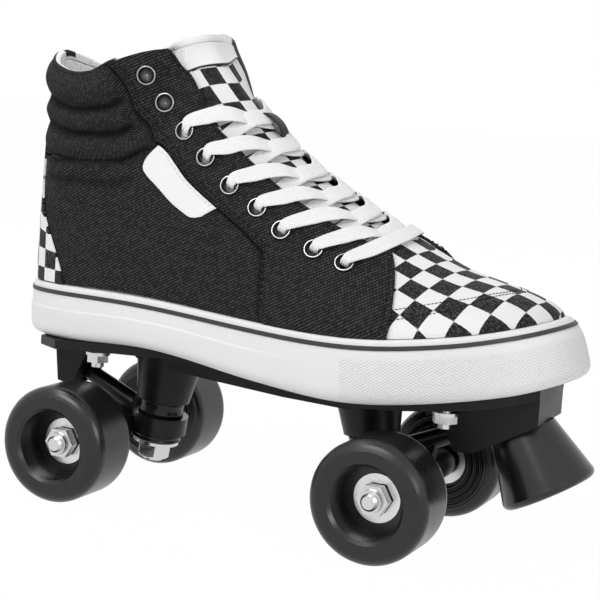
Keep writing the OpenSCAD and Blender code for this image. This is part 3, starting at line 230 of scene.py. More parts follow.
def curve(xs, ys, t):
    """Smooth curve through a table: cubic pieces with the mean slope of the two chords at each knot."""
    xs, ys = np.asarray(xs, float), np.asarray(ys, float)
    t = np.clip(np.asarray(t, float), xs[0], xs[-1])
    chord = np.diff(ys, axis=0) / np.diff(xs).reshape((-1,) + (1,) * (ys.ndim - 1))
    slope = np.concatenate([chord[:1], (chord[:-1] + chord[1:]) / 2, chord[-1:]])
    i = np.clip(np.searchsorted(xs, t, side="right") - 1, 0, len(xs) - 2)
    h = xs[i + 1] - xs[i]
    u = (t - xs[i]) / h
    if ys.ndim > 1:
        u, h = u[..., None], h[..., None]
    return ((2 * u**3 - 3 * u**2 + 1) * ys[i] + (u**3 - 2 * u**2 + u) * h * slope[i]
            + (3 * u**2 - 2 * u**3) * ys[i + 1] + (u**3 - u**2) * h * slope[i + 1])


def straight(xs, ys, t):
    """Straight pieces through a table of points."""
    ys = np.asarray(ys, float)
    return np.stack([np.interp(t, xs, ys[:, k]) for k in range(ys.shape[1])], -1)


def ease(lo, hi, t):
    """Smooth step from 0 at lo to 1 at hi."""
    u = np.clip((t - lo) / (hi - lo), 0, 1)
    return u * u * (3 - 2 * u)


def unit(v):
    """Vectors scaled to length one."""
    return v / np.maximum(np.linalg.norm(v, axis=-1, keepdims=True), 1e-12)


def outline(a, sd, grow=0.0):
    """Feather line of the sole: a superellipse along the foot times the body's width, on a bent middle."""
    def flat(q):
        s = (1 + np.cos(np.pi * q)) / 2
        e = np.maximum(1 - np.abs(2 * s - 1) ** 3.4, 0) ** (1 / 2.1)
        x = HEEL_X + LAST * s - TOE_TUCK * np.maximum(0, (s - 0.8) / 0.2) ** 2
        return np.stack([x, curve(BEND_S, BEND_Y, s) + sd * e * curve(BODY_S, BODY_W, s)], -1)
    a, sd, grow = np.broadcast_arrays(*(np.asarray(x, float) for x in (a, sd, grow)))
    d = flat(np.clip(a, 0.001, 0.999) + 0.0005) - flat(np.clip(a, 0.001, 0.999) - 0.0005)
    n = unit(np.stack([d[..., 1], -d[..., 0]], -1)) * sd[..., None]
    n = np.where((a < 0.001)[..., None], [1.0, 0.0], np.where((a > 0.999)[..., None], [-1.0, 0.0], n))
    return flat(a) + grow[..., None] * n


def top_at(x):
    """Height of the sole's top edge."""
    return RIDE + curve(TOP_S, TOP_Z, (x - HEEL_X) / LAST)


def low_at(x):
    """Height of the sole's bottom."""
    return RIDE + curve(LOW_S, LOW_Z, (x - HEEL_X) / LAST)


def skin(a, v, sd):
    """The boot's skin: a cubic rib at each place a, from the feather line at v 0 to the ridge at v 1."""
    a, v, sd = np.broadcast_arrays(*(np.asarray(x, float) for x in (a, v, sd)))
    r = curve(RIB_A, RIB, a)
    f = outline(a, sd)
    p0 = np.stack([f[..., 0], f[..., 1], top_at(f[..., 0])], -1)
    p1 = np.stack([HEEL_X + r[..., 0], sd * r[..., 1], RIDE + r[..., 2]], -1)
    t0 = np.stack([0 * a, sd * r[..., 7], r[..., 6]], -1)
    t1 = np.stack([r[..., 3], -sd * r[..., 4], r[..., 5] - sd * r[..., 8]], -1)
    v = v[..., None]
    return ((2 * v**3 - 3 * v**2 + 1) * p0 + (v**3 - 2 * v**2 + v) * t0
            + (3 * v**2 - 2 * v**3) * p1 + (v**3 - v**2) * t1)


def skin_frame(a, v, sd):
    """Points of the skin, its outward normals and its direction towards the heel, by small differences."""
    a, v, sd = np.broadcast_arrays(*(np.asarray(x, float) for x in (a, v, sd)))
    ac = np.clip(a, 4e-4, 1 - 4e-4)
    da = skin(ac + 2e-4, v, sd) - skin(ac - 2e-4, v, sd)
    dv = skin(ac, v + 5e-4, sd) - skin(ac, v - 5e-4, sd)
    n = np.cross(da, dv) * sd[..., None]
    n[..., 1] = np.where((a < 1e-6) | (a > 1 - 1e-6), 0, n[..., 1])
    return skin(a, v, sd), unit(n), unit(da)


def round_heel(u, a0):
    """Place and side of a run from the outer side at u 0 round the heel at u 1 to the inner side at u 2."""
    return np.where(u <= 1, a0 + (1 - a0) * u, a0 + (1 - a0) * (2 - u)), np.where(u <= 1, -1.0, 1.0)


def steps(n, rim=0.0):
    """n + 1 values from 0 to 1, with one more close to each end where rim is given."""
    t = np.linspace(0, 1, n + 1)
    return np.concatenate([[0, rim], t[1:-1], [1 - rim, 1]]) if rim else t


def path_length(p):
    """Length along a line of points, from its first."""
    return np.concatenate([[0], np.cumsum(np.linalg.norm(np.diff(p, axis=0), axis=1))])


def oval(count, flat, tall):
    """Section of a flat cord: cosines and sines of count angles, each squared off by a power below one."""
    ang = np.linspace(0, 2 * np.pi, count, endpoint=False)
    c, s = np.cos(ang), np.sin(ang)
    return np.sign(c) * np.abs(c) ** flat, np.sign(s) * np.abs(s) ** tall


def eyelet_frames(sd):
    """Middle, outward normal and two directions across the cloth at each eyelet of a side."""
    at, n, along = skin_frame(EYELETS[:, 0], EYELETS[:, 1], sd)
    x = unit(along - (along * n).sum(-1, keepdims=True) * n)
    return at, n, x, np.cross(n, x)


# Meshes


def quads(n, m, wrap_n=False, wrap_m=False, start=0):
    """Faces of a grid of n by m points, closed along either way where asked."""
    i = np.arange(n if wrap_n else n - 1)
    j = np.arange(m if wrap_m else m - 1)
    i, j = (x.ravel() for x in np.meshgrid(i, j, indexing="ij"))
    i2, j2 = (i + 1) % n, (j + 1) % m
    return np.stack([i * m + j, i * m + j2, i2 * m + j2, i2 * m + j], -1) + start


def to_metres(points):
    """Points of the source, in millimetres from its own zero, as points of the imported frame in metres."""
    return (np.asarray(points, float).reshape(-1, 3) - [MID_X, 0, 0]) * MM


def weld(mesh, sharp):
    """Merges doubles, turns faces outward and shades them smooth up to an angle in degrees."""
    work = bmesh.new()
    work.from_mesh(mesh)
    bmesh.ops.remove_doubles(work, verts=work.verts, dist=2e-6)
    bmesh.ops.dissolve_degenerate(work, edges=work.edges, dist=1e-7)
    bmesh.ops.recalc_face_normals(work, faces=work.faces)
    work.to_mesh(mesh)
    work.free()
    mesh.polygons.foreach_set("use_smooth", np.ones(len(mesh.polygons), bool))
    mesh.set_sharp_from_angle(angle=math.radians(sharp))


def build(name, points, faces, material, layers=None, values=None, sharp=38.0, body=BOOT):
    """Puts arrays into one closed mesh in metres, as a piece that rides on a body.
    layers are UV maps by name, and values are numbers for each point by name."""
    mesh = bpy.data.meshes.new(name)
    mesh.from_pydata(to_metres(points).tolist(), [], [list(f) for f in faces])
    corner = np.empty(len(mesh.loops), np.int32)
    mesh.loops.foreach_get("vertex_index", corner)
    for key, uv in (layers or {}).items():
        data = mesh.uv_layers.new(name=key).data
        data.foreach_set("uv", np.asarray(uv, np.float32).reshape(-1, 2)[corner].ravel())
    for key, value in (values or {}).items():
        data = mesh.attributes.new(key, "FLOAT", "POINT").data
        data.foreach_set("value", np.asarray(value, np.float32).ravel())
    weld(mesh, sharp)
    piece = bpy.data.objects.new(name, mesh)
    bpy.context.scene.collection.objects.link(piece)
    mesh.materials.append(material)
    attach(piece, body)
    return piece


def run_length(p, axis):
    """Length along a grid of points, added up from its first row or column."""
    d = np.linalg.norm(np.diff(p, axis=axis), axis=-1)
    pad = [(0, 0), (0, 0)]
    pad[axis] = (1, 0)
    return np.cumsum(np.pad(d, pad), axis=axis)


def aslant(uv):
    """A UV map turned by the angle at which the canvas is cut."""
    c, s = math.cos(CANVAS_TURN), math.sin(CANVAS_TURN)
    return uv @ np.array([[c, -s], [s, c]])


def flat_uv(p):
    """UV of a side panel's cloth in metres: its side view, turned so that the threads run aslant."""
    return aslant(p[..., [0, 2]] * MM)


def cloth_uv(p):
    """UV of a cloth grid in metres: the length along its rows and its columns."""
    return np.stack([run_length(p, 0), run_length(p, 1)], -1) * MM


def shell_faces(n, m, open_first=False):
    """Faces of a sheet with two sides: two grids of n by m and the walls round them.
    open_first leaves out the wall at the first row, where the sheet turns back on itself."""
    k = n * m
    rows = [np.arange(n) * m, np.arange(n) * m + m - 1, (n - 1) * m + np.arange(m)]
    if not open_first:
        rows.append(np.arange(m))
    walls = [np.stack([r[:-1], r[1:], r[1:] + k, r[:-1] + k], -1) for r in rows]
    return np.concatenate([quads(n, m), quads(n, m, start=k)[:, ::-1]] + walls)


def edge_drop(shape, size, open_first=False):
    """How far the border of a sheet's grid is lowered, which rounds its edges."""
    drop = np.zeros(shape)
    drop[-1], drop[:, 0], drop[:, -1] = size, size, size
    drop[0] = 0 if open_first else size
    return drop


def sheet(name, outer, inner, material, layers, values=None, open_first=False):
    """A sheet with two sides, given as two grids of points. Its UV maps and values are the same on both."""
    two = lambda x: np.concatenate([x.reshape(-1, *x.shape[2:])] * 2)
    points = np.concatenate([outer.reshape(-1, 3), inner.reshape(-1, 3)])
    return build(name, points, shell_faces(*outer.shape[:2], open_first), material,
                 {key: two(uv) for key, uv in layers.items()},
                 {key: two(value) for key, value in (values or {}).items()})


def panel(name, a, v, sd, hi, lo, material, uv=None, checks=None, open_first=False, rounding=0.3,
          values=None):
    """A ply of the boot over a grid of places, between two heights over the skin, with rounded edges."""
    p, n, _ = skin_frame(a, v, sd)
    edge = edge_drop(a.shape, rounding, open_first)
    outer = p + (np.broadcast_to(hi, a.shape) - edge)[..., None] * n
    inner = p + (np.broadcast_to(lo, a.shape) + 0.5 * edge)[..., None] * n
    layers = {"cloth": cloth_uv(outer) if uv is None else uv}
    if checks is not None:
        layers["checks"] = checks
    return sheet(name, outer, inner, material, layers, values, open_first)


def loop_tube(name, rings, material, shut=False, layers=None, values=None, sharp=38.0):
    """Closed sections carried along a path: an array of n rings with m points each, capped unless shut."""
    n, m = rings.shape[:2]
    faces = quads(n, m, wrap_n=shut, wrap_m=True).tolist()
    if not shut:
        faces += [list(range(m))[::-1], list(range((n - 1) * m, n * m))]
    return build(name, rings, faces, material, layers, values, sharp)


def resample(p, n, gap):
    """Points, normals and tangents at even lengths along a line of points."""
    s = path_length(p)
    at = np.arange(gap / 2, s[-1] - gap / 4, gap)
    pick = lambda q: np.stack([np.interp(at, s, q[:, k]) for k in range(3)], -1)
    return pick(p), unit(pick(n)), unit(pick(np.gradient(p, s, axis=0)))


def stitch_points(lines, pitch, width=0.75, length=0.72, lift=0.34):
    """Stitches along lines of (points, normals): each is a short thread, thick in its middle, that dips at
    both ends. Returns the points and faces of all of them."""
    t = np.array([-1, -0.8, -0.35, 0.35, 0.8, 1.0])
    size = width * np.array([0.25, 0.7, 1, 1, 0.7, 0.25])[:, None]
    dip = lift * (1 - 1.5 * np.abs(t) ** 3)
    rows, around = len(t), 6
    ang = np.linspace(0, 2 * np.pi, around, endpoint=False)
    local = np.stack([np.broadcast_to((t * length * pitch / 2)[:, None], (rows, around)),
                      0.5 * size * np.cos(ang), 0.36 * size * np.sin(ang) + dip[:, None]], -1)
    one = quads(rows, around, wrap_m=True).tolist()
    one += [list(range(around))[::-1], list(range((rows - 1) * around, rows * around))]
    points, faces, count = [], [], 0
    for p, n in lines:
        c, nn, tt = resample(p, n, pitch)
        b = unit(np.cross(nn, tt))
        nn = np.cross(tt, b)
        q = (c[:, None, None] + local[None, ..., 0:1] * tt[:, None, None]
             + local[None, ..., 1:2] * b[:, None, None] + local[None, ..., 2:3] * nn[:, None, None])
        points.append(q.reshape(-1, 3))
        faces += [[f + rows * around * (count + k) for f in face] for k in range(len(c)) for face in one]
        count += len(c)
    return np.concatenate(points), faces


def seam(a, v, sd, off):
    """A line on the skin for stitches: points and normals."""
    p, n, _ = skin_frame(a, v, sd)
    return p + off * n, n


# Materials


def add(tree, kind, inputs=None, **settings):
    """A node with its settings and inputs: a socket is linked, anything else is a value."""
    node = tree.nodes.new(kind)
    for key, value in settings.items():
        setattr(node, key, value)
    for key, value in (inputs or {}).items():
        if isinstance(value, bpy.types.NodeSocket):
            tree.links.new(value, node.inputs[key])
        else:
            node.inputs[key].default_value = value
    return node


def calc(tree, op, a, b=0.0, c=0.0):
    """Result of a Math node."""
    return add(tree, "ShaderNodeMath", {0: a, 1: b, 2: c}, operation=op).outputs[0]


def blend(tree, fac, a, b):
    """Mix of two colours by a mask."""
    node = add(tree, "ShaderNodeMix", {"Factor": fac}, data_type="RGBA")
    for key, value in ((6, a), (7, b)):
        if isinstance(value, bpy.types.NodeSocket):
            tree.links.new(value, node.inputs[key])
        else:
            node.inputs[key].default_value = (*value[:3], 1)
    return node.outputs[2]


def spread(tree, value, a, b, c, d):
    """A value mapped from the range a to b to the range c to d, held at its ends."""
    ends = {"Value": value, "From Min": a, "From Max": b, "To Min": c, "To Max": d}
    return add(tree, "ShaderNodeMapRange", ends).outputs[0]


def times(tree, first, *rest):
    """Product of two or more values."""
    for value in rest:
        first = calc(tree, "MULTIPLY", first, value)
    return first


def sine(tree, value, factor=math.pi):
    """Sine of a value times a factor."""
    return calc(tree, "SINE", calc(tree, "MULTIPLY", value, factor))


def scale(tree, vector, factor):
    """A vector or colour times a factor."""
    return add(tree, "ShaderNodeVectorMath", {0: vector, "Scale": factor}, operation="SCALE").outputs[0]


def mark(tree, key):
    """The piece's own value for each point, by its name."""
    return add(tree, "ShaderNodeAttribute", attribute_name=key).outputs["Fac"]


def shade(colour, share):
    """A plain colour with each part times a share."""
    return tuple(min(share * part, 1) for part in colour)


def group(name, inputs, outputs):
    """A new shader node group with float or vector inputs and float outputs, and its two end nodes."""
    tree = bpy.data.node_groups.new(name, "ShaderNodeTree")
    for key, kind, default in inputs:
        socket = tree.interface.new_socket(key, in_out="INPUT", socket_type="NodeSocket" + kind)
        if default is not None:
            socket.default_value = default
    for key in outputs:
        tree.interface.new_socket(key, in_out="OUTPUT", socket_type="NodeSocketFloat")
    return tree, tree.nodes.new("NodeGroupInput"), tree.nodes.new("NodeGroupOutput")


def weave_group():
    """Plain weave: in every second cell the thread across lies on top, in the others the thread along. Each
    thread is round, so its height is the root of a sine, a stretched noise makes some threads thicker,
    and each crossing has its own chance value. Thread is the sine across the threads that run along."""
    tree, given, result = group("Weave", [("Vector", "Vector", None), ("Pitch", "Float", 0.001)],
                                ["Height", "Slub", "Fleck", "Thread"])
    uv = scale(tree, given.outputs["Vector"], calc(tree, "DIVIDE", 1.0, given.outputs["Pitch"]))
    part = add(tree, "ShaderNodeSeparateXYZ", {0: uv})
    u, v = part.outputs[0], part.outputs[1]
    cells = calc(tree, "ADD", calc(tree, "FLOOR", u), calc(tree, "FLOOR", v))
    over = calc(tree, "FLOORED_MODULO", cells, 2.0)
    ru, rv = sine(tree, calc(tree, "FRACT", u)), sine(tree, calc(tree, "FRACT", v))
    hu = times(tree, calc(tree, "POWER", ru, 0.6), calc(tree, "MULTIPLY_ADD", rv, 0.45, 0.55), over)
    hv = times(tree, calc(tree, "POWER", rv, 0.6), calc(tree, "MULTIPLY_ADD", ru, 0.45, 0.55),
               calc(tree, "SUBTRACT", 1.0, over))
    long = add(tree, "ShaderNodeVectorMath", {0: uv, 1: (0.9, 0.16, 1)}, operation="MULTIPLY").outputs[0]
    slub = add(tree, "ShaderNodeTexNoise", {"Vector": long, "Scale": 1.0, "Detail": 2.0}).outputs[0]
    cell = add(tree, "ShaderNodeVectorMath", {0: uv}, operation="FLOOR").outputs[0]
    fleck = add(tree, "ShaderNodeTexWhiteNoise", {"Vector": cell}, noise_dimensions="2D").outputs["Value"]
    height = calc(tree, "ADD", hu, hv)
    for key, value in (("Height", height), ("Slub", slub), ("Fleck", fleck), ("Thread", rv)):
        tree.links.new(value, result.inputs[key])
    return tree


def check_group():
    """Checked print: the sign of a product of two sines, softened over a thread and bled a little."""
    tree, given, result = group("Checks", [("Vector", "Vector", None), ("Edge", "Float", 0.06)], ["Dark"])
    at, edge = given.outputs["Vector"], given.outputs["Edge"]
    noise = add(tree, "ShaderNodeTexNoise", {"Vector": at, "Scale": 14.0, "Detail": 1.0}).outputs["Color"]
    off = add(tree, "ShaderNodeVectorMath", {0: noise, 1: (0.5, 0.5, 0.5)}, operation="SUBTRACT").outputs[0]
    uv = add(tree, "ShaderNodeVectorMath", {0: at, 1: scale(tree, off, 0.05)}, operation="ADD").outputs[0]
    part = add(tree, "ShaderNodeSeparateXYZ", {0: uv})
    product = times(tree, sine(tree, part.outputs[0]), sine(tree, part.outputs[1]))
    ends = {"Value": product, "From Min": calc(tree, "MULTIPLY", edge, -1.0), "From Max": edge}
    dark = add(tree, "ShaderNodeMapRange", ends, interpolation_type="SMOOTHSTEP").outputs[0]
    tree.links.new(dark, result.inputs["Dark"])
    return tree


def uneven_group():
    """Slow and fine variation of a hard surface, from two noises on the piece's own coordinates."""
    tree, given, result = group("Unevenness", [("Slow", "Float", 40.0), ("Fine", "Float", 900.0)],
                                ["Cloud", "Grain"])
    at = add(tree, "ShaderNodeTexCoord").outputs["Object"]
    slow = {"Vector": at, "Scale": given.outputs["Slow"], "Detail": 4.0, "Roughness": 0.6}
    fine = {"Vector": at, "Scale": given.outputs["Fine"], "Detail": 2.0}
    for key, noise in (("Cloud", slow), ("Grain", fine)):
        tree.links.new(add(tree, "ShaderNodeTexNoise", noise).outputs[0], result.inputs[key])
    return tree


GROUPS = {}


def effect(tree, key, inputs=None):
    """A shared node group placed in a material. Each group is built once."""
    makers = {"weave": weave_group, "checks": check_group, "uneven": uneven_group}
    if key not in GROUPS:
        GROUPS[key] = makers[key]()
    return add(tree, "ShaderNodeGroup", inputs, node_tree=GROUPS[key]).outputs


def map_uv(tree, key):
    """The piece's own UV map, by its name."""
    return add(tree, "ShaderNodeUVMap", uv_map=key).outputs[0]


def woven(tree, pitch):
    """The weave on a piece's cloth map."""
    return effect(tree, "weave", {"Vector": map_uv(tree, "cloth"), "Pitch": pitch})


def uneven(tree, slow, fine):
    """The unevenness of a hard surface."""
    return effect(tree, "uneven", {"Slow": slow, "Fine": fine})


def fresh(name, **fixed):
    """A material with its Principled shader and the values that are the same all over."""
    mat = bpy.data.materials.new(name)
    mat.use_nodes = True
    shader = mat.node_tree.nodes["Principled BSDF"]
    for key, value in fixed.items():
        shader.inputs[key.replace("_", " ")].default_value = value
    return mat, mat.node_tree, shader


def finish(tree, shader, colour, rough, height, distance, strength):
    """Joins a colour, a roughness and a bump of some height to the shader."""
    relief = add(tree, "ShaderNodeBump", {"Height": height, "Distance": distance, "Strength": strength})
    for key, value in (("Base Color", colour), ("Roughness", rough), ("Normal", relief.outputs[0])):
        tree.links.new(value, shader.inputs[key])


def thread_colour(tree, colour, weave):
    """Dyed canvas: painted shade in the gaps and painted highlights on the crowns, the highlights varied by
    chance and stronger where the thread is thick.
    """
    thick = times(tree, spread(tree, weave["Slub"], 0.3, 0.72, 0.75, 1.0),
                  spread(tree, weave["Fleck"], 0, 1, 0.35, 1.0))
    twill = calc(tree, "MULTIPLY_ADD", calc(tree, "POWER", weave["Thread"], 2.0), 0.8, 0.2)
    crown = times(tree, weave["Height"], twill, thick)
    # Painted shade and highlight: gaps at 0.3 and lit crowns at 5.6 times the canvas colour
    return blend(tree, crown, shade(colour, 0.3), shade(colour, 5.6))


def canvas(name, colour, pitch, inner=None):
    """Coarse dyed canvas with a dull surface, with painted shade in the channels and beside the seams where
    a value of the piece marks it. With an inner colour it is pale cloth where the value pale marks it."""
    mat, tree, shader = fresh(name, Specular_IOR_Level=0.12)
    w = woven(tree, pitch)
    # Painted shade: the canvas is darkened to 0.15 of its colour where the piece marks its channels and seams
    painted_hollow_shade = spread(tree, mark(tree, "painted_hollow_shade"), 0.0, 1.0, 1.0, 0.15)
    base = scale(tree, thread_colour(tree, colour, w), painted_hollow_shade)
    if inner:
        base = blend(tree, mark(tree, "pale"), base, blend(tree, w["Height"], shade(inner, 0.9), inner))
    rough = spread(tree, w["Slub"], 0.2, 0.8, 0.75, 0.95)
    finish(tree, shader, base, rough, w["Height"], pitch * 0.3, 0.9)
    return mat


def checked(name, dark, pale, pitch, fleck=0.5, crown=0.6, only=None):
    """Checked print on canvas: the weave shows as painted highlights, pale specks on the threads' crowns, in
    the dark squares, and as faint painted shade in the pale ones. fleck is the brightest painted highlight
    and crown the roughness of the threads' crowns. With only, the print stays where the value of that name
    marks it."""
    mat, tree, shader = fresh(name, Specular_IOR_Level=0.2)
    w = woven(tree, pitch)
    mask = effect(tree, "checks", {"Vector": map_uv(tree, "checks"), "Edge": 0.02})["Dark"]
    if only:
        mask = times(tree, mask, spread(tree, mark(tree, only), 0.45, 0.55, 0.0, 1.0))
    # Painted highlight: pale specks on the crowns of the threads in the dark squares, random in strength
    speck = times(tree, calc(tree, "POWER", w["Height"], 4.0), spread(tree, w["Fleck"], 0.3, 1.0, 0.0, fleck))
    ink = blend(tree, speck, dark, (0.3, 0.3, 0.3))
    # Painted shade: the pale squares are darker in the weave's gaps
    ground = blend(tree, times(tree, w["Height"], 0.8), shade(pale, 0.86), pale)
    rough = spread(tree, w["Height"], 0, 1, 0.85, crown)
    finish(tree, shader, blend(tree, mask, ground, ink), rough, w["Height"], pitch * 0.2, 0.8)
    return mat


def plain_cloth(name, colour, pitch, depth=0.25, gap=0.82):
    """One-colour woven cloth or tape with a fine weave, with painted shade in its gaps."""
    mat, tree, shader = fresh(name, Sheen_Weight=0.1, Specular_IOR_Level=0.3)
    w = woven(tree, pitch)
    # Painted shade: the weave's gaps are darker by the share gap
    base = blend(tree, w["Height"], shade(colour, gap), colour)
    finish(tree, shader, base, spread(tree, w["Slub"], 0.2, 0.8, 0.75, 0.92), w["Height"], pitch * depth, 0.8)
    return mat


def taped(name, dark, pale, pitch=0.0007):
    """Binding tape: dark along the sides, pale over the top, where the value pale marks it, with painted
    shade in the weave's gaps.
    """
    mat, tree, shader = fresh(name, Sheen_Weight=0.1, Specular_IOR_Level=0.3)
    w = woven(tree, pitch)
    # Painted shade: the colour is 0.85 of itself in the weave's gaps
    base = scale(tree, blend(tree, mark(tree, "pale"), dark, pale),
                 calc(tree, "MULTIPLY_ADD", w["Height"], 0.15, 0.85))
    finish(tree, shader, base, spread(tree, w["Slub"], 0.2, 0.8, 0.7, 0.9), w["Height"], 0.0002, 0.8)
    return mat


def braid(name, colour, pick=0.0011, strand=0.0013):
    """Flat braided lace: two sets of slanting strands that meet in a ridge along the middle, with painted
    shade between the strands.
    """
    mat, tree, shader = fresh(name, Sheen_Weight=0.15, Specular_IOR_Level=0.3)
    part = add(tree, "ShaderNodeSeparateXYZ", {0: map_uv(tree, "cloth")})
    across = calc(tree, "DIVIDE", calc(tree, "ABSOLUTE", part.outputs[0]), strand)
    slant = calc(tree, "ADD", calc(tree, "DIVIDE", part.outputs[1], pick), across)
    round_strand, row = (calc(tree, "ABSOLUTE", sine(tree, value)) for value in (slant, across))
    height = times(tree, calc(tree, "POWER", round_strand, 0.6), calc(tree, "MULTIPLY_ADD", row, 0.5, 0.5))
    # Painted shade: the colour drops to 0.8 in the grooves between strands
    base = blend(tree, height, shade(colour, 0.8), colour)
    finish(tree, shader, base, spread(tree, height, 0, 1, 0.92, 0.75), height, 0.00025, 0.8)
    return mat


def moulded(name, colour, rough, depth=0.00004, fine=1400.0, vary=0.1, **fixed):
    """Moulded rubber or nylon, paint or thread: an even colour with a faint cloud and uneven gloss."""
    mat, tree, shader = fresh(name, **fixed)
    u = uneven(tree, 45.0, fine)
    base = blend(tree, spread(tree, u["Cloud"], 0.3, 0.7, 0.0, 1.0), shade(colour, 1 - vary), colour)
    gloss = spread(tree, u["Cloud"], 0.3, 0.7, rough * 0.85, rough * 1.2)
    finish(tree, shader, base, gloss, u["Grain"], depth, 0.6)
    return mat


def cast_wheel(name, colour, groove_pitch=0.0014):
    """Cast urethane with turned grooves on the face towards the truck: a sine of the radius. Painted shade
    darkens the grooves' bottoms.
    """
    mat, tree, shader = fresh(name, Specular_IOR_Level=0.45)
    u = uneven(tree, 45.0, 1500.0)
    at = add(tree, "ShaderNodeSeparateXYZ", {0: add(tree, "ShaderNodeTexCoord").outputs["Object"]}).outputs
    along = calc(tree, "ABSOLUTE", calc(tree, "ADD", at[0], MID_X * MM))
    x, z = calc(tree, "SUBTRACT", along, WHEELBASE / 2 * MM), calc(tree, "SUBTRACT", at[2], AXLE_Z * MM)
    r = calc(tree, "SQRT", calc(tree, "ADD", times(tree, x, x), times(tree, z, z)))
    face = spread(tree, calc(tree, "ABSOLUTE", at[1]), *WHEEL_FACE, 1.0, 0.0)
    groove = times(tree, sine(tree, r, 2 * math.pi / groove_pitch), face)
    # Painted shade: the colour drops to 0.2 at the grooves' bottoms
    tone = times(tree, spread(tree, u["Cloud"], 0.3, 0.7, 0.7, 1.0),
                 spread(tree, groove, -1.0, 0.5, 0.2, 1.0))
    gloss = spread(tree, u["Cloud"], 0.3, 0.7, 0.24, 0.34)
    relief = calc(tree, "MULTIPLY_ADD", u["Grain"], 0.08, groove)
    finish(tree, shader, scale(tree, colour, tone), gloss, relief, 0.0003, 0.8)
    return mat


def plated(name, colour, rough):
    """Zinc-plated or ground steel: metal with fine grain and cloudy gloss."""
    mat, tree, shader = fresh(name, Metallic=1.0)
    u = uneven(tree, 120.0, 2500.0)
    gloss = spread(tree, u["Cloud"], 0.3, 0.7, rough * 0.7, rough * 1.4)
    finish(tree, shader, blend(tree, u["Cloud"], shade(colour, 0.8), colour), gloss, u["Grain"], 0.00002, 0.5)
    return mat


def ribbed_rubber(name, colour, rib_run=0.0024, rib_rise=0.0014):
    """White rubber with fine crossing ribs where the value ribbed marks them, on the band's UV map. Painted
    shade darkens the ribs' grooves, and the ribbed band is a little darker overall.
    """
    mat, tree, shader = fresh(name, Specular_IOR_Level=0.3)
    part = add(tree, "ShaderNodeSeparateXYZ", {0: map_uv(tree, "cloth")})
    along = calc(tree, "DIVIDE", part.outputs[0], rib_run)
    up = calc(tree, "DIVIDE", part.outputs[1], rib_rise)
    rib, cross = (sine(tree, calc(tree, way, along, up), 2 * math.pi) for way in ("SUBTRACT", "ADD"))
    ribbed = mark(tree, "ribbed")
    height = times(tree, calc(tree, "MULTIPLY_ADD", cross, 0.35, rib), ribbed)
    u = uneven(tree, 30.0, 1200.0)
    base = blend(tree, u["Cloud"], shade(colour, 0.94), colour)
    # Painted shade: darker in the ribs' grooves, and a little darker over the ribbed band
    tone = calc(tree, "MULTIPLY_ADD", ribbed, -0.03, spread(tree, height, -1.0, 0.8, 0.86, 1.0))
    gloss = spread(tree, u["Cloud"], 0.3, 0.7, 0.5, 0.65)
    relief = calc(tree, "MULTIPLY_ADD", u["Grain"], 0.15, height)
    finish(tree, shader, scale(tree, base, tone), gloss, relief, 0.00012, 0.7)
    return mat


def enamelled(name, enamel, metal):
    """Eyelet: black enamel, worn to bright metal along the rim that the value rim marks."""
    mat, tree, shader = fresh(name, Specular_IOR_Level=0.25)
    u = uneven(tree, 300.0, 3000.0)
    mask = times(tree, mark(tree, "rim"), spread(tree, u["Cloud"], 0.25, 0.4, 0.7, 1.0))
    tree.links.new(mask, shader.inputs["Metallic"])
    gloss = spread(tree, u["Cloud"], 0.3, 0.7, 0.2, 0.32)
    finish(tree, shader, blend(tree, mask, enamel, metal), gloss, u["Grain"], 0.00002, 0.4)
    return mat


MATERIALS = {}


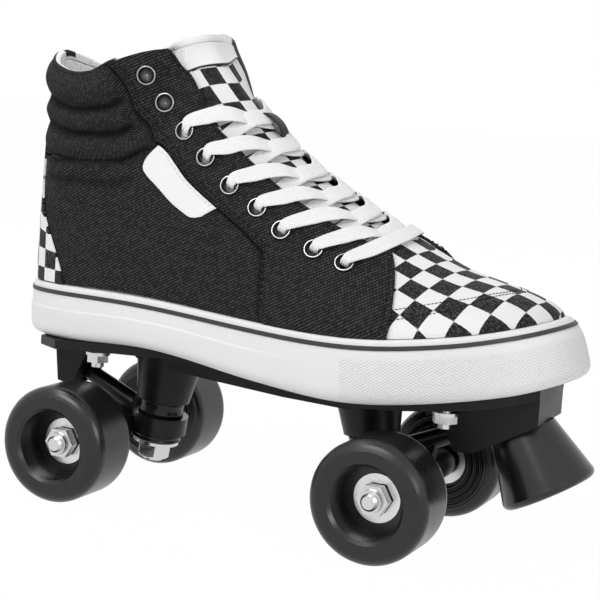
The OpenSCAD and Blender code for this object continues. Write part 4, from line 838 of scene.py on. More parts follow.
def make_materials(looks):
    """All finishes, each by a short key."""
    black_canvas, white = tuple(looks.canvas_colour), tuple(looks.lining_colour)
    print_inks = tuple(looks.print_dark), tuple(looks.print_pale), looks.print_pitch
    grey = lambda tone: (tone, tone, tone)
    black = lambda tone: (tone, tone, tone + 0.0005)
    MATERIALS.update({
        "canvas": canvas("canvas_black", black_canvas, looks.canvas_pitch),
        "collar": canvas("collar_canvas", black_canvas, looks.canvas_pitch * 0.9, white),
        "checked": checked("checked_canvas", *print_inks),
        "tongue": checked("tongue_canvas", *print_inks, 0.4, 0.65, "print"),
        "lining": plain_cloth("lining_twill", white, 0.0006),
        "label": plain_cloth("label_cloth", grey(0.74), 0.0004, 0.15, 0.94),
        "insole": plain_cloth("insole_cloth", grey(0.5), 0.0008),
        "webbing": plain_cloth("webbing_black", grey(0.012), 0.0007, 0.3, 0.5),
        "binding": taped("binding_tape", grey(0.008), grey(0.88)),
        "lace": braid("lace_braid", tuple(looks.lace_colour)),
        "thread": moulded("thread_black", grey(0.007), 0.8, 0.00003, 4000.0, Specular_IOR_Level=0.15),
        "thread_pale": moulded("thread_white", grey(0.7), 0.7, 0.00003, 4000.0),
        "eyelet": enamelled("eyelet_enamel", grey(0.006), grey(0.6)),
        "rubber": ribbed_rubber("sole_rubber", tuple(looks.rubber_colour)),
        "stripe": moulded("stripe_rubber", (0.02, 0.02, 0.021), 0.5),
        "crepe": moulded("midsole_crepe", (0.62, 0.62, 0.6), 0.7, 0.0002, 500.0),
        "board": moulded("fibre_board", (0.45, 0.34, 0.22), 0.8, 0.0001, 800.0, 0.25),
        "nylon": moulded("plate_nylon", black(0.006), 0.36, 0.00003, 2200.0, 0.3, Specular_IOR_Level=0.22),
        "hanger": moulded("hanger_paint", black(0.006), 0.3, 0.00003, 1800.0, 0.3, Specular_IOR_Level=0.25),
        "cup": moulded("pivot_cup", grey(0.04), 0.5),
        "cushion": moulded("cushion_rubber", black(0.008), 0.22, 0.00002, 1500.0, 0.2,
                           Specular_IOR_Level=0.3),
        "stop": moulded("stop_rubber", black(0.007), 0.24, 0.00002, 1200.0, 0.3, Specular_IOR_Level=0.5),
        "urethane": cast_wheel("wheel_urethane", tuple(looks.wheel_colour)),
        "steel": plated("zinc_steel", tuple(looks.steel_colour), 0.26),
        "bearing": plated("bearing_steel", (0.78, 0.78, 0.77), 0.22),
    })


NODE_FINISH = {
    "nylon": ["plate"],
    "hanger": ["hanger_" + end for end in ENDS],
    "cup": ["pivot_cups"],
    "stop": ["toe_stop"],
    "crepe": ["midsole"],
    "board": ["insole_board"],
    "cushion": [f"cushion_{level}_{end}" for level in ("upper", "lower") for end in ENDS],
    "steel": ["mount_bolts", "mount_nuts", "toe_stop_bolt", "kingpins", "kingpin_nuts", "cushion_washers"]
             + [kind + end for kind in ("axle_", "axle_nuts_", "axle_washers_") for end in ENDS],
    "urethane": ["wheel_" + corner for corner in CORNERS],
    "bearing": ["bearing_inners_" + end for end in ENDS]
               + [f"bearing_{kind}_{corner}" for kind in ("outers", "balls") for corner in CORNERS],
}


# Pieces


class SkateStep(bpy.types.Operator):
    """One step of the skate's making"""
    bl_idname = "skate.step"
    bl_label = "Step"
    bl_options = {"REGISTER", "UNDO"}

    def execute(self, context):
        self.make(context.scene.skate_looks)
        return {"FINISHED"}

    def make(self, looks):
        raise RuntimeError("a step has to make something")


# Lamps as name, place, aim, size and power, in metres and watts, and the camera in degrees and millimetres
LAMPS = (("key", (-0.35, -1.1, 1.25), (0.0, 0.0, 0.12), 0.9, 16),
         ("fill", (1.2, -0.7, 0.6), (0.0, 0.0, 0.1), 0.5, 6),
         ("back", (-0.5, 1.0, 0.9), (0.0, 0.0, 0.12), 0.8, 6),
         ("opening", (-0.3, -0.12, 0.62), (-0.1, 0.02, 0.2), 0.16, 0.45))
CAMERA_AZIMUTH, CAMERA_ELEVATION, CAMERA_ROLL = 24.86, 8.16, 3.67
CAMERA_AT = (327.0, -673.5, 208.6)
CAMERA_LENS = 95.02
FLOOR_GLOW, SKY_LIGHT = 0.985, 0.42


class SKATE_OT_stage(SkateStep):
    """Floor, light and camera"""
    bl_idname = "skate.stage"
    bl_label = "Stage"

    def make(self, looks):
        bpy.context.scene.view_settings.view_transform = "Standard"
        self.floor()
        self.sky()
        for name, place, aim, size, power in LAMPS:
            self.lamp(name, place, aim, size, power)
        self.camera()

    def direct(self, tree):
        """1 for rays of the camera, of gloss and through glass, 0 for the others."""
        ray = add(tree, "ShaderNodeLightPath").outputs
        return calc(tree, "MAXIMUM", ray["Is Camera Ray"],
                    calc(tree, "MAXIMUM", ray["Is Glossy Ray"], ray["Is Transmission Ray"]))

    def floor(self):
        """Pale paper that glows towards the camera, so that only the skate's shadow shows on it."""
        bpy.ops.mesh.primitive_plane_add(size=12, location=(0, 0, -0.0002))
        floor = bpy.context.object
        floor.name = "floor"
        mat, tree, shader = fresh("floor_paper", Roughness=0.9, Base_Color=(0.9, 0.9, 0.9, 1))
        glow = add(tree, "ShaderNodeEmission", {"Color": (1, 1, 1, 1), "Strength": 1.0})
        mixed = add(tree, "ShaderNodeMixShader", {0: times(tree, self.direct(tree), FLOOR_GLOW),
                                                  1: shader.outputs[0], 2: glow.outputs[0]})
        tree.links.new(mixed.outputs[0], tree.nodes["Material Output"].inputs["Surface"])
        floor.data.materials.append(mat)

    def sky(self):
        """An even white sky that lights less than it shows."""
        world = bpy.data.worlds.new("studio")
        world.use_nodes = True
        tree = world.node_tree
        tree.nodes.clear()
        even = lambda light: {"Color": (1, 1, 1, 1), "Strength": light}
        soft, white = (add(tree, "ShaderNodeBackground", even(light)) for light in (SKY_LIGHT, 1.0))
        mixed = add(tree, "ShaderNodeMixShader", {0: self.direct(tree), 1: soft.outputs[0],
                                                  2: white.outputs[0]})
        out = add(tree, "ShaderNodeOutputWorld")
        tree.links.new(mixed.outputs[0], out.inputs["Surface"])
        bpy.context.scene.world = world

    def put(self, name, data, right, up, back, place):
        """A new object with the given axes at a place."""
        thing = bpy.data.objects.new(name, data)
        turn = np.column_stack([right, up, back, place])
        thing.matrix_world = Matrix(np.vstack([turn, [0, 0, 0, 1]]).tolist())
        bpy.context.scene.collection.objects.link(thing)
        return thing

    def lamp(self, name, place, aim, size, power):
        """A square soft light that looks at a point."""
        data = bpy.data.lights.new(name, "AREA")
        data.size, data.energy = size, power
        back = unit(np.subtract(place, aim))
        right = unit(np.cross([0, 0, 1], back))
        self.put(name, data, right, np.cross(back, right), back, place)

    def camera(self):
        """Camera at the photograph's place, rolled about its own line of sight."""
        az, el, roll = (math.radians(v) for v in (CAMERA_AZIMUTH, CAMERA_ELEVATION, CAMERA_ROLL))
        back = np.array([math.sin(az) * math.cos(el), -math.cos(az) * math.cos(el), math.sin(el)])
        level = np.array([math.cos(az), math.sin(az), 0])
        up = np.cross(back, level)
        right = math.cos(roll) * level + math.sin(roll) * up
        above = -math.sin(roll) * level + math.cos(roll) * up
        data = bpy.data.cameras.new("photo_camera")
        data.sensor_width, data.lens, data.clip_start = 36.0, CAMERA_LENS, 0.01
        bpy.context.scene.camera = self.put("photo_camera", data, right, above, back, to_metres(CAMERA_AT)[0])


class SKATE_OT_hardware(SkateStep):
    """Finishes of the plate, trucks, wheels and fastenings, and welded copies of the cushions"""
    bl_idname = "skate.hardware"
    bl_label = "Plate, trucks and wheels"

    def make(self, looks):
        for key, names in NODE_FINISH.items():
            for name in names:
                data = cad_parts[name].data
                data.materials.clear()
                data.materials.append(MATERIALS[key])
        for end in ENDS:
            self.bush("upper", end, 1, 0)
            self.bush("lower", end, 0, 1)

    def bush(self, level, end, plate_side, truck_side):
        """A welded copy of a cushion's solid, put in place of the solid, which is hidden."""
        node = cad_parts[f"cushion_{level}_{end}"]
        bush = bpy.data.objects.new(f"bush_{level}_{end}", node.data.copy())
        weld(bush.data, 38.0)
        bpy.context.scene.collection.objects.link(bush)
        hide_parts(node.name)
        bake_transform(bush)


# The sole's wall by shares of its height: how far it draws in, and how far the toe stands out.
# Then where the toe strip and its ribs end, the stripe's place and height, and the height of the ribs' map
WALL_H = [0, 0.12, 0.3, 0.75, 1]
WALL_DROP = [2.2, 0.6, 0, 0, 0.7]
WALL_TOE = [11.5, 10.8, 9.2, 4.6, 0]
BUMPER_A = 16 / 44
RIBS_A = 0.386
STRIPE_DOWN, STRIPE_H, STRIPE_ROOM = 2.6, 2.0, 0.05
RIB_MAP_H = 29.0


def wall_out(a, h):
    """How far the sole's wall stands out of the feather line at a share h of its height."""
    drop = curve(WALL_H, WALL_DROP, h)
    toe = curve(WALL_H, WALL_TOE, h) * ease(0.82, 1, (1 + np.cos(np.pi * a)) / 2) ** 2
    return FOXING_T - SOLE_INSET - drop + toe


def wall_point(a, sd, grow, h):
    """A point of the wall: out of the feather line by grow, at a share h of the sole's height."""
    e = outline(a, sd, grow)
    x = e[..., 0]
    return np.stack([x, e[..., 1], low_at(x) + (top_at(x) - low_at(x)) * h], -1)


def wall_rings(a, sd, ridge):
    """Sections of the wall along a run: inner face, rounded top, outer face with a ridge, rounded foot."""
    h = np.concatenate([[0.0, 0.35, 0.7, 1.0, 1.0, 0.985, 0.965], np.linspace(0.94, 0.6, 9),
                        np.linspace(0.585, 0.53, 5), np.linspace(0.5, 0.12, 9), [0.075, 0.04, 0.015, 0.0]])
    inner = np.arange(len(h)) < 4
    cut = np.zeros(len(h))
    cut[[4, 5]] = 0.75, 0.22
    cut[-3:] = 0.1, 0.5, 1.3
    a2, sd2, h2 = a[:, None], sd[:, None], h[None]
    step = ridge[:, None] * (1 - ease(0.545, 0.57, h2)) * ease(0.02, 0.1, h2)
    grow = np.where(inner, -SOLE_INSET, wall_out(a2, h2) - cut + step)
    return wall_point(a2, np.broadcast_to(sd2, grow.shape), grow, np.broadcast_to(h2, grow.shape)), h


class SKATE_OT_sole(SkateStep):
    """Foxing band, toe strip and stripe round the sole"""
    bl_idname = "skate.sole"
    bl_label = "Sole"

    def make(self, looks):
        ribs_end = (RIBS_A * np.array([0.999, 1.001]) - BUMPER_A) / (1 - BUMPER_A)
        run = np.unique(np.concatenate([np.linspace(0, 1, 161), ribs_end]))
        a, sd = round_heel(np.concatenate([run, 2 - run[-2::-1]]), BUMPER_A)
        self.band("foxing_band", a, sd, 0.4 * ease(0.42, 0.52, a), "foxing")
        place = BUMPER_A * np.linspace(0, 1, 90) ** 0.8
        a, sd = np.concatenate([place[::-1], place[1:]]), np.concatenate([-np.ones(90), np.ones(89)])
        self.band("toe_strip", a, sd, 0 * a, "toe_bumper")
        self.stripe()

    def stripe(self):
        """Black line round the wall: a low rounded section carried round the whole sole."""
        u = np.linspace(0, 2, 360, endpoint=False)
        a, sd = np.where(u <= 1, u, 2 - u), np.where(u <= 1, 1.0, -1.0)
        down = np.array([1.0, 0.94, 0.5, 0.06, 0.0, 0.0, 1.0]) * STRIPE_H + STRIPE_DOWN
        proud = np.array([0.3, 0.46, 0.5, 0.46, 0.3, 0.0, 0.0]) + STRIPE_ROOM
        x = outline(a, sd)[:, :1]
        share = 1 - down / (top_at(x) - low_at(x))
        rings = wall_point(a[:, None], sd[:, None], wall_out(a[:, None], share) + proud, share)
        piece = loop_tube("sole_stripe", rings, MATERIALS["stripe"], shut=True)
        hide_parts("foxing_stripe")

    def band(self, name, a, sd, ridge, node):
        """One length of the sole's rubber band. Its UV runs along the foot's outline from the toe, so the
        ribs go on over a joint."""
        rings, h = wall_rings(a, sd, ridge)
        whole = np.linspace(0, 1, 2001)
        run = np.interp(a, whole, path_length(outline(whole, -1.0))) * sd
        uv = np.stack(np.broadcast_arrays(run[:, None], h[None] * RIB_MAP_H), -1) * MM
        ribbed = (a < RIBS_A)[:, None] * (ease(0.72, 0.66, h) * ease(0.03, 0.06, h))[None]
        piece = loop_tube(name, rings, MATERIALS["rubber"], layers={"cloth": uv},
                          values={"ribbed": ribbed})
        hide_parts(node)


def roll_height(q, a, v):
    """Height of the collar's padding, and painted shade in its channels: three rolls, each the power of a
    sine between two channels, calm under the heel counter and at the eyestay's seam. The painted shade lies
    in the channels and beside the eyestay's seam."""
    k = np.clip(np.searchsorted(CHANNELS, q, side="right") - 1, 0, 2)
    f = (q - CHANNELS[k]) / (CHANNELS[k + 1] - CHANNELS[k])
    calm = np.where(k < 2, 1 - ease(0.9, 0.95, a), 1)
    w = ease(0.5, 0.62, v)
    start = ease(0.02 - 0.01 * w, 0.06 - 0.036 * w, a - curve(COLLAR_V, COLLAR_A, v))
    channel = np.exp(-(np.min(np.abs(q[..., None] - CHANNELS[:3]), -1) / 0.045) ** 2)
    # Painted shade: a mask that darkens the canvas in the channels and beside the eyestay's seam
    painted_hollow_shade = np.maximum(channel * start * (1 - ease(0.93, 0.97, a)), seam_shade(a, v))
    return ROLL_H * ROLL_SHARE[k] * calm * start * np.maximum(np.sin(np.pi * f), 0) ** 1.1, painted_hollow_shade


def stay_edges(p, sd):
    """Rear and front edge of an eyestay at a share p of its length. The inner side has its own front."""
    back, front = straight(STAY_P, STAY_B, p), curve(STAY_P, STAY_F, p)
    if sd > 0:
        corner = np.clip(1 - p / INNER_CORNER_P, 0, 1)
        front[..., 0] -= INNER_CORNER_A * corner
        front[..., 1] += np.interp(p, STAY_P, STAY_IN) + INNER_CORNER_V * corner
    return back, front


def seam_shade(a, v):
    """Painted shade beside an eyestay's rear edge: a bell over the distance to it, in about millimetres."""
    edge = straight(STAY_P, STAY_B, np.linspace(STAY_P[2], 1, 240)) * SKIN_SCALE
    gap = (np.stack([a, v], -1) * SKIN_SCALE)[..., None, :] - edge
    return np.exp(-(gap**2).sum(-1).min(-1) / SEAM_SHADE_W**2)


def bow(share, p):
    """How far the eyestay's lower front bows forward: a parabola across it that fades up its length."""
    return CAP_BOW * 4 * share * (1 - share) * np.maximum(0, 1 - p / STAY_P[2])


class SKATE_OT_upper(SkateStep):
    """Canvas quarters, heel counter, toe cap, eyestays and tag"""
    bl_idname = "skate.upper"
    bl_label = "Upper"

    def make(self, looks):
        for name, sd in SIDES:
            self.quarter(name, sd)
            self.eyestay(name, sd)
        self.counter(looks.check_size / MM)
        self.cap()
        self.tag()

    def quarter(self, name, sd):
        """Side panel from the sole to the collar, with a faint sway and a low roll along its top, and painted
        shade in the roll's channel, along its top and beside the eyestay's seam.
        """
        p, q = np.meshgrid(steps(110, 0.003), steps(48, 0.008), indexing="ij")
        a = QUARTER_ENDS[0] + (QUARTER_ENDS[1] - QUARTER_ENDS[0]) * p
        top = curve(QUARTER_A, QUARTER_V, a)
        v = FOOT_V + (top - FOOT_V) * q
        side = np.full(a.shape, sd)
        sway = 0.22 * np.sin(31 * a + 5 * v) * np.sin(9 * v + 11 * a) * np.sin(np.pi * p) * np.sin(np.pi * q)
        low = curve(LOW_ROLL_A, LOW_ROLL_V, a)
        f = np.clip((v - low) / np.maximum(top - low, 1e-3), 0, 1)
        calm = ease(0.68, 0.73, a) * (1 - ease(0.86, 0.92, a))
        roll = LOW_ROLL_H * calm * np.sin(np.pi * f) ** 1.1
        # Painted shade: darker in the low roll's channel and along the top edge
        painted_hollow_shade = calm * (0.6 * np.exp(-((v - low) / 0.016) ** 2) + np.exp(-((v - top) / 0.02) ** 2))
        piece = panel("canvas_quarter_" + name, a, v, side, BASE_HI + sway + roll, BASE_LO,
                      MATERIALS["canvas"], flat_uv(skin(a, v, side)),
                      values={"painted_hollow_shade": np.maximum(painted_hollow_shade, seam_shade(a, v))})
        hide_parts("quarter_" + name)

    def eyestay(self, name, sd):
        """Panel between its two edges, bowed forward over the toe cap, with painted shade along its rear
        edge.
        """
        p = np.unique(np.concatenate([steps(150, 0.002), STAY_P]))
        p, q = np.meshgrid(p, steps(44, 0.008), indexing="ij")
        back, front = stay_edges(p, sd)
        c = back + (front - back) * q[..., None]
        a, v = c[..., 0] - bow(q, p), c[..., 1]
        side = np.full(a.shape, sd)
        # Painted shade: darker along the rear edge
        painted_hollow_shade = np.exp(-(q / 0.018) ** 2) * ease(0.25, 0.3, p)
        piece = panel("canvas_eyestay_" + name, a, v, side, OVER_HI, OVER_LO,
                      MATERIALS["canvas"], flat_uv(skin(a, v, side)), values={"painted_hollow_shade": painted_hollow_shade})
        self.punch(piece, sd)
        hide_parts("eyestay_" + name)

    def punch(self, piece, sd, around=28):
        """Cuts the eyelets' holes: one round cutter across the cloth at each."""
        at, n, x, y = (v[:, None] for v in eyelet_frames(sd))
        ang = np.linspace(0, 2 * np.pi, around, endpoint=False)[None, :, None]
        disc = (EYELET_HOLE_R + 0.5) * (np.cos(ang) * x + np.sin(ang) * y)
        ends = np.stack([at + disc + z * n for z in (-3.0, 6.0)], 1)
        faces = []
        for first in range(0, len(EYELETS) * 2 * around, 2 * around):
            middle, last = first + around, first + 2 * around
            faces += (quads(2, around, wrap_m=True) + first).tolist()
            faces += [list(range(first, middle))[::-1], list(range(middle, last))]
        mesh = bpy.data.meshes.new("cutter")
        mesh.from_pydata(to_metres(ends).tolist(), [], faces)
        weld(mesh, 30.0)
        cutter = bpy.data.objects.new("cutter", mesh)
        bpy.context.scene.collection.objects.link(cutter)
        cut = piece.modifiers.new("holes", "BOOLEAN")
        cut.operation, cut.solver, cut.object = "DIFFERENCE", "EXACT", cutter
        bpy.context.view_layer.update()
        done = bpy.data.meshes.new_from_object(piece.evaluated_get(bpy.context.evaluated_depsgraph_get()))
        piece.modifiers.clear()
        old = piece.data
        piece.data = done
        done.name = old.name
        bpy.data.objects.remove(cutter)
        bpy.data.meshes.remove(mesh)
        bpy.data.meshes.remove(old)

    def counter(self, check):
        """Checked patch round the heel, whose print starts at the heel's middle line."""
        u = np.concatenate([[0, 0.008], np.linspace(0, 2, 61)[1:-1], [1.992, 2]])
        u, q = np.meshgrid(u, steps(60, 0.006), indexing="ij")
        v = FOOT_V + (COUNTER_TOP - FOOT_V) * q
        a, sd = round_heel(u, curve(COUNTER_V, COUNTER_A, v))
        p = skin(a, v, sd)
        across, up = run_length(p, 0), run_length(p, 1)
        across = across - across[len(u) // 2]
        checks = np.stack([across / check + 0.5, up / check + 0.3], -1)
        piece = panel("heel_patch", a, v, sd, OVER_HI, OVER_LO, MATERIALS["checked"],
                      np.stack([across, up], -1) * MM, checks)
        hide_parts("heel_counter")

    def cap(self):
        """Checked vamp from the toe's tip back to its curved edge, over both sides."""
        p, w = np.meshgrid(steps(80, 0.004), steps(120, 0.003), indexing="ij")
        v = FOOT_V + (1 - FOOT_V) * (1 - np.abs(1 - 2 * w))
        sd = np.where(w <= 0.5, -1.0, 1.0)
        a = np.where(p == 0, 0, curve(CAP_V, CAP_A, v) * p)
        on_toe = skin(a, v, sd)
        along, across = run_length(on_toe, 0), run_length(on_toe, 1)
        across = across - across[:, [w.shape[1] // 2]]
        piece = panel("toe_vamp", a, v, sd, BASE_HI, BASE_LO, MATERIALS["checked"],
                      np.stack([along, across], -1) * MM, self.toe_print(on_toe), open_first=True)
        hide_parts("toe_cap")

    def toe_print(self, p):
        """Lattice of the print on the toe, as it lies in the photograph. along is the length of the toe's
        middle line up to a point's x, over the ridge and down the front, and down is the length of a
        parabola of the point's width and drop. The cloth is drawn back on the sides, so both lattice
        lines bend with the two lengths."""
        ridge = skin(np.linspace(0.47, 0, 300), 1.0, -1.0)
        line = np.concatenate([ridge, skin(0.0, np.linspace(1, 0, 60)[1:], -1.0)])
        along = np.interp(p[..., 0], line[:, 0], path_length(line[:, [0, 2]]))
        drop = np.maximum(np.interp(p[..., 0], line[:, 0], line[:, 2]) - p[..., 2], 0)
        down = -np.sign(p[..., 1]) * np.sqrt(p[..., 1] ** 2 + 4 / 3 * drop**2)
        near, far = np.maximum(down, 0), np.minimum(down, 0)
        i = -2.25 + 0.1066 * along + (0.051 - 0.00032 * along - 0.00008 * near) * near - 0.03 * far
        j = (-2.69 + (0.0102 + 0.00005 * along) * along + (0.1537 - 0.00054 * along - 0.00062 * near) * near
             + 0.11 * far)
        return np.stack([i, j], -1)

    def tag(self):
        """Blank tag with two rounded corners on the side away from the seam."""
        p, q = np.meshgrid(steps(40, 0.01), steps(16, 0.03), indexing="ij")
        corner = lambda size, reach: size * (1 - np.sqrt(1 - np.clip(1 - q / reach, 0, 1) ** 2))
        low, high = corner(0.1, 0.45), corner(0.4, 0.7)
        along = low + (1 - low - high) * p
        line = lambda ends: ends[0] + (ends[1] - ends[0]) * along
        a = line(TAG_A) + line(TAG_LEAN) * (1 - q)
        v = line(TAG_FREE_V) * (1 - q) + line(TAG_SEAM_V) * q
        piece = panel("blank_tag", a, v, np.full(a.shape, -1.0), OVER_LO + TAG_H, OVER_LO + 0.05,
                      MATERIALS["label"], rounding=0.25)
        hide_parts("side_tag")


# The collar's rim and its inner fold: heights up the rib, and heights over the skin
RIM_DIP = 0.028
FOLD_V = 0.957
COLLAR_GAP = 0.002
COLLAR_IN = -3.75
LINING_FOOT, LINING_TOP = -0.02, 0.953


class SKATE_OT_collar(SkateStep):
    """Padded collar, lining and insole"""
    bl_idname = "skate.collar"
    bl_label = "Collar and lining"

    def make(self, looks):
        self.collar()
        self.lining()
        self.insole()

    def lining(self):
        """Inner ply from the insole up into the collar's fold, round the heel."""
        u, q = np.meshgrid(np.linspace(0, 2, 121), steps(48, 0.006), indexing="ij")
        v = LINING_FOOT + (LINING_TOP - LINING_FOOT) * q
        a, sd = round_heel(u, curve(LINING_V, LINING_A, v))
        piece = panel("boot_lining", a, v, sd, LINING_HI, LINING_LO, MATERIALS["lining"])
        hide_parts("lining")

    def collar(self):
        """Sections up over the rolls, over the rim in a half round, and down inside to a folded edge."""
        u = np.linspace(0, 2, 181)
        close = CHANNELS[:, None] + [-0.012, -0.006, 0, 0.006, 0.012]
        q = np.unique(np.concatenate([np.linspace(0, 1, 81), close.ravel()]))
        q = q[(q >= 0) & (q <= 1)]
        u2, q2 = np.meshgrid(u, q, indexing="ij")
        foot = curve(QUARTER_A, QUARTER_V, round_heel(u2, 0.65)[0]) + COLLAR_GAP
        rim_a = round_heel(u2, COLLAR_A[-1])[0]
        rim = 1 - RIM_DIP * ease(0.795, 0.825, rim_a) * (1 - ease(0.88, 0.97, rim_a))
        v = foot + (rim - foot) * q2
        a, sd = round_heel(u2, curve(COLLAR_V, COLLAR_A, v))
        p, n, _ = skin_frame(a, v, sd)
        # The second value is painted shade in the channels and beside the eyestay's seam; it also sets where
        # the channels pucker
        pad, painted_hollow_shade = roll_height(q2, a, v)
        run = run_length(p, 0)
        pucker = 0.2 * painted_hollow_shade * np.sin(run / 1.9) * np.sin(np.pi * q2)
        sway = 0.3 * np.sin(run / 9.0 + 4 * q2) * np.sin(run / 23.0 + 9 * q2) * ease(0.2, 2, pad)
        off = np.where(q2 > 0.999, BASE_HI + 0.25, BASE_HI + pad + pucker + sway)
        outer = p + off[..., None] * n
        arc = self.rim_arc(p[:, -1:], n[:, -1:], a[:, -1:], sd[:, -1:], off[:, -1:])
        inside = self.fold(u, FOLD_V + (rim[:, -1:] - FOLD_V) * np.array([1, 0.75, 0.5, 0.25, 0, 0]),
                           COLLAR_IN + np.array([0, 0, 0, 0, 0.1, BASE_LO - 0.1 - COLLAR_IN]))
        under = self.fold(u, foot[:, :1] + (FOLD_V - foot[:, :1]) * np.linspace(1, 0, 24), BASE_LO)
        rings = np.concatenate([outer, arc, inside, under[:, 1:]], 1)
        round_rim = np.broadcast_to(run[:, -20:-19], rings.shape[:2])
        uv = aslant(np.stack([round_rim, run_length(rings, 1)], -1) * MM)
        ring = np.arange(rings.shape[1]) - len(q)
        back_tab = (a[:, :1] > 0.975) * (ring < 12)
        # Painted shade of the channels goes to the material as a value for each point
        values = {"painted_hollow_shade": np.pad(painted_hollow_shade, ((0, 0), (0, rings.shape[1] - len(q)))),
                  "pale": ((ring >= 4) & (ring < 15)) * (1 - back_tab)}
        piece = loop_tube("padded_collar", rings, MATERIALS["collar"], layers={"cloth": uv},
                          values=values, sharp=60)
        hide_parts("ankle_collar")

    def rim_arc(self, p, n, a, sd, off):
        """Half round over the rim from the outer to the inner height over the skin, a little flattened."""
        ang = np.linspace(0, np.pi, 11)[1:-1]
        up = unit(skin(a, 0.99, sd) - skin(a, 0.96, sd))
        middle, half = (off + COLLAR_IN) / 2, (off - COLLAR_IN) / 2
        return p + (middle + half * np.cos(ang))[..., None] * n + (0.75 * half * np.sin(ang))[..., None] * up

    def fold(self, u, v, off):
        """Points of the collar's inner side."""
        a, sd = round_heel(u[:, None] + 0 * v, curve(COLLAR_V, COLLAR_A, v))
        p, n, _ = skin_frame(a, v, sd)
        return p + np.broadcast_to(off, v.shape)[..., None] * n

    def insole(self):
        """Cushioned bed: a crowned sheet between the sole's walls, its edge and heel turned up a little."""
        i, w = np.meshgrid(steps(70, 0.004), steps(36, 0.01), indexing="ij")
        a = 0.08 + 0.84 * i
        left, right = outline(a, -1.0, -4.0), outline(a, 1.0, -4.0)
        flat = left + (right - left) * w[..., None]
        bed = top_at(flat[..., 0])
        rim = np.abs(2 * w - 1) ** 6
        heel_cup = 0.5 * np.exp(-((i - 0.83) / 0.1) ** 2) * (1 - rim)
        top = bed - 2.0 + 0.9 * rim + 0.6 * ease(0.7, 1, i) * rim - heel_cup - edge_drop(a.shape, 0.6)
        outer, inner = (np.concatenate([flat, z[..., None]], -1) for z in (top, bed - 3.6))
        piece = sheet("insole_pad", outer, inner, MATERIALS["insole"], {"cloth": flat * MM})
        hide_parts("insole")


def tongue_at(l, w, down):
    """The tongue: its middle line, wide by its half width, bent back by the square of the place across
    (less on the inner side near the top), tilted and lowered."""
    k = l * (1 - 0.05 * w**4)
    mid = lambda t: np.insert(curve(TONGUE_L, TONGUE_C, t) + [HEEL_X, RIDE], 1, 0.0, axis=-1)
    kc = np.clip(k, 0.004, 0.996)
    d = unit(mid(kc + 0.004) - mid(kc - 0.004))
    n = np.stack([-d[..., 2], 0 * k, d[..., 0]], -1) * np.where(d[..., :1] < 0, 1, -1)
    side = np.stack([0 * k, w * curve(TONGUE_L, TONGUE_HW, k), 0 * k], -1)
    bow = curve(TONGUE_L, TONGUE_DEP, k) * w**2 * np.where(w > 0, curve(FLAT_L, FLAT_BOW, k), 1)
    return mid(k) + side + n * (down + bow - curve(TONGUE_L, TONGUE_TILT, k) * w)[..., None]


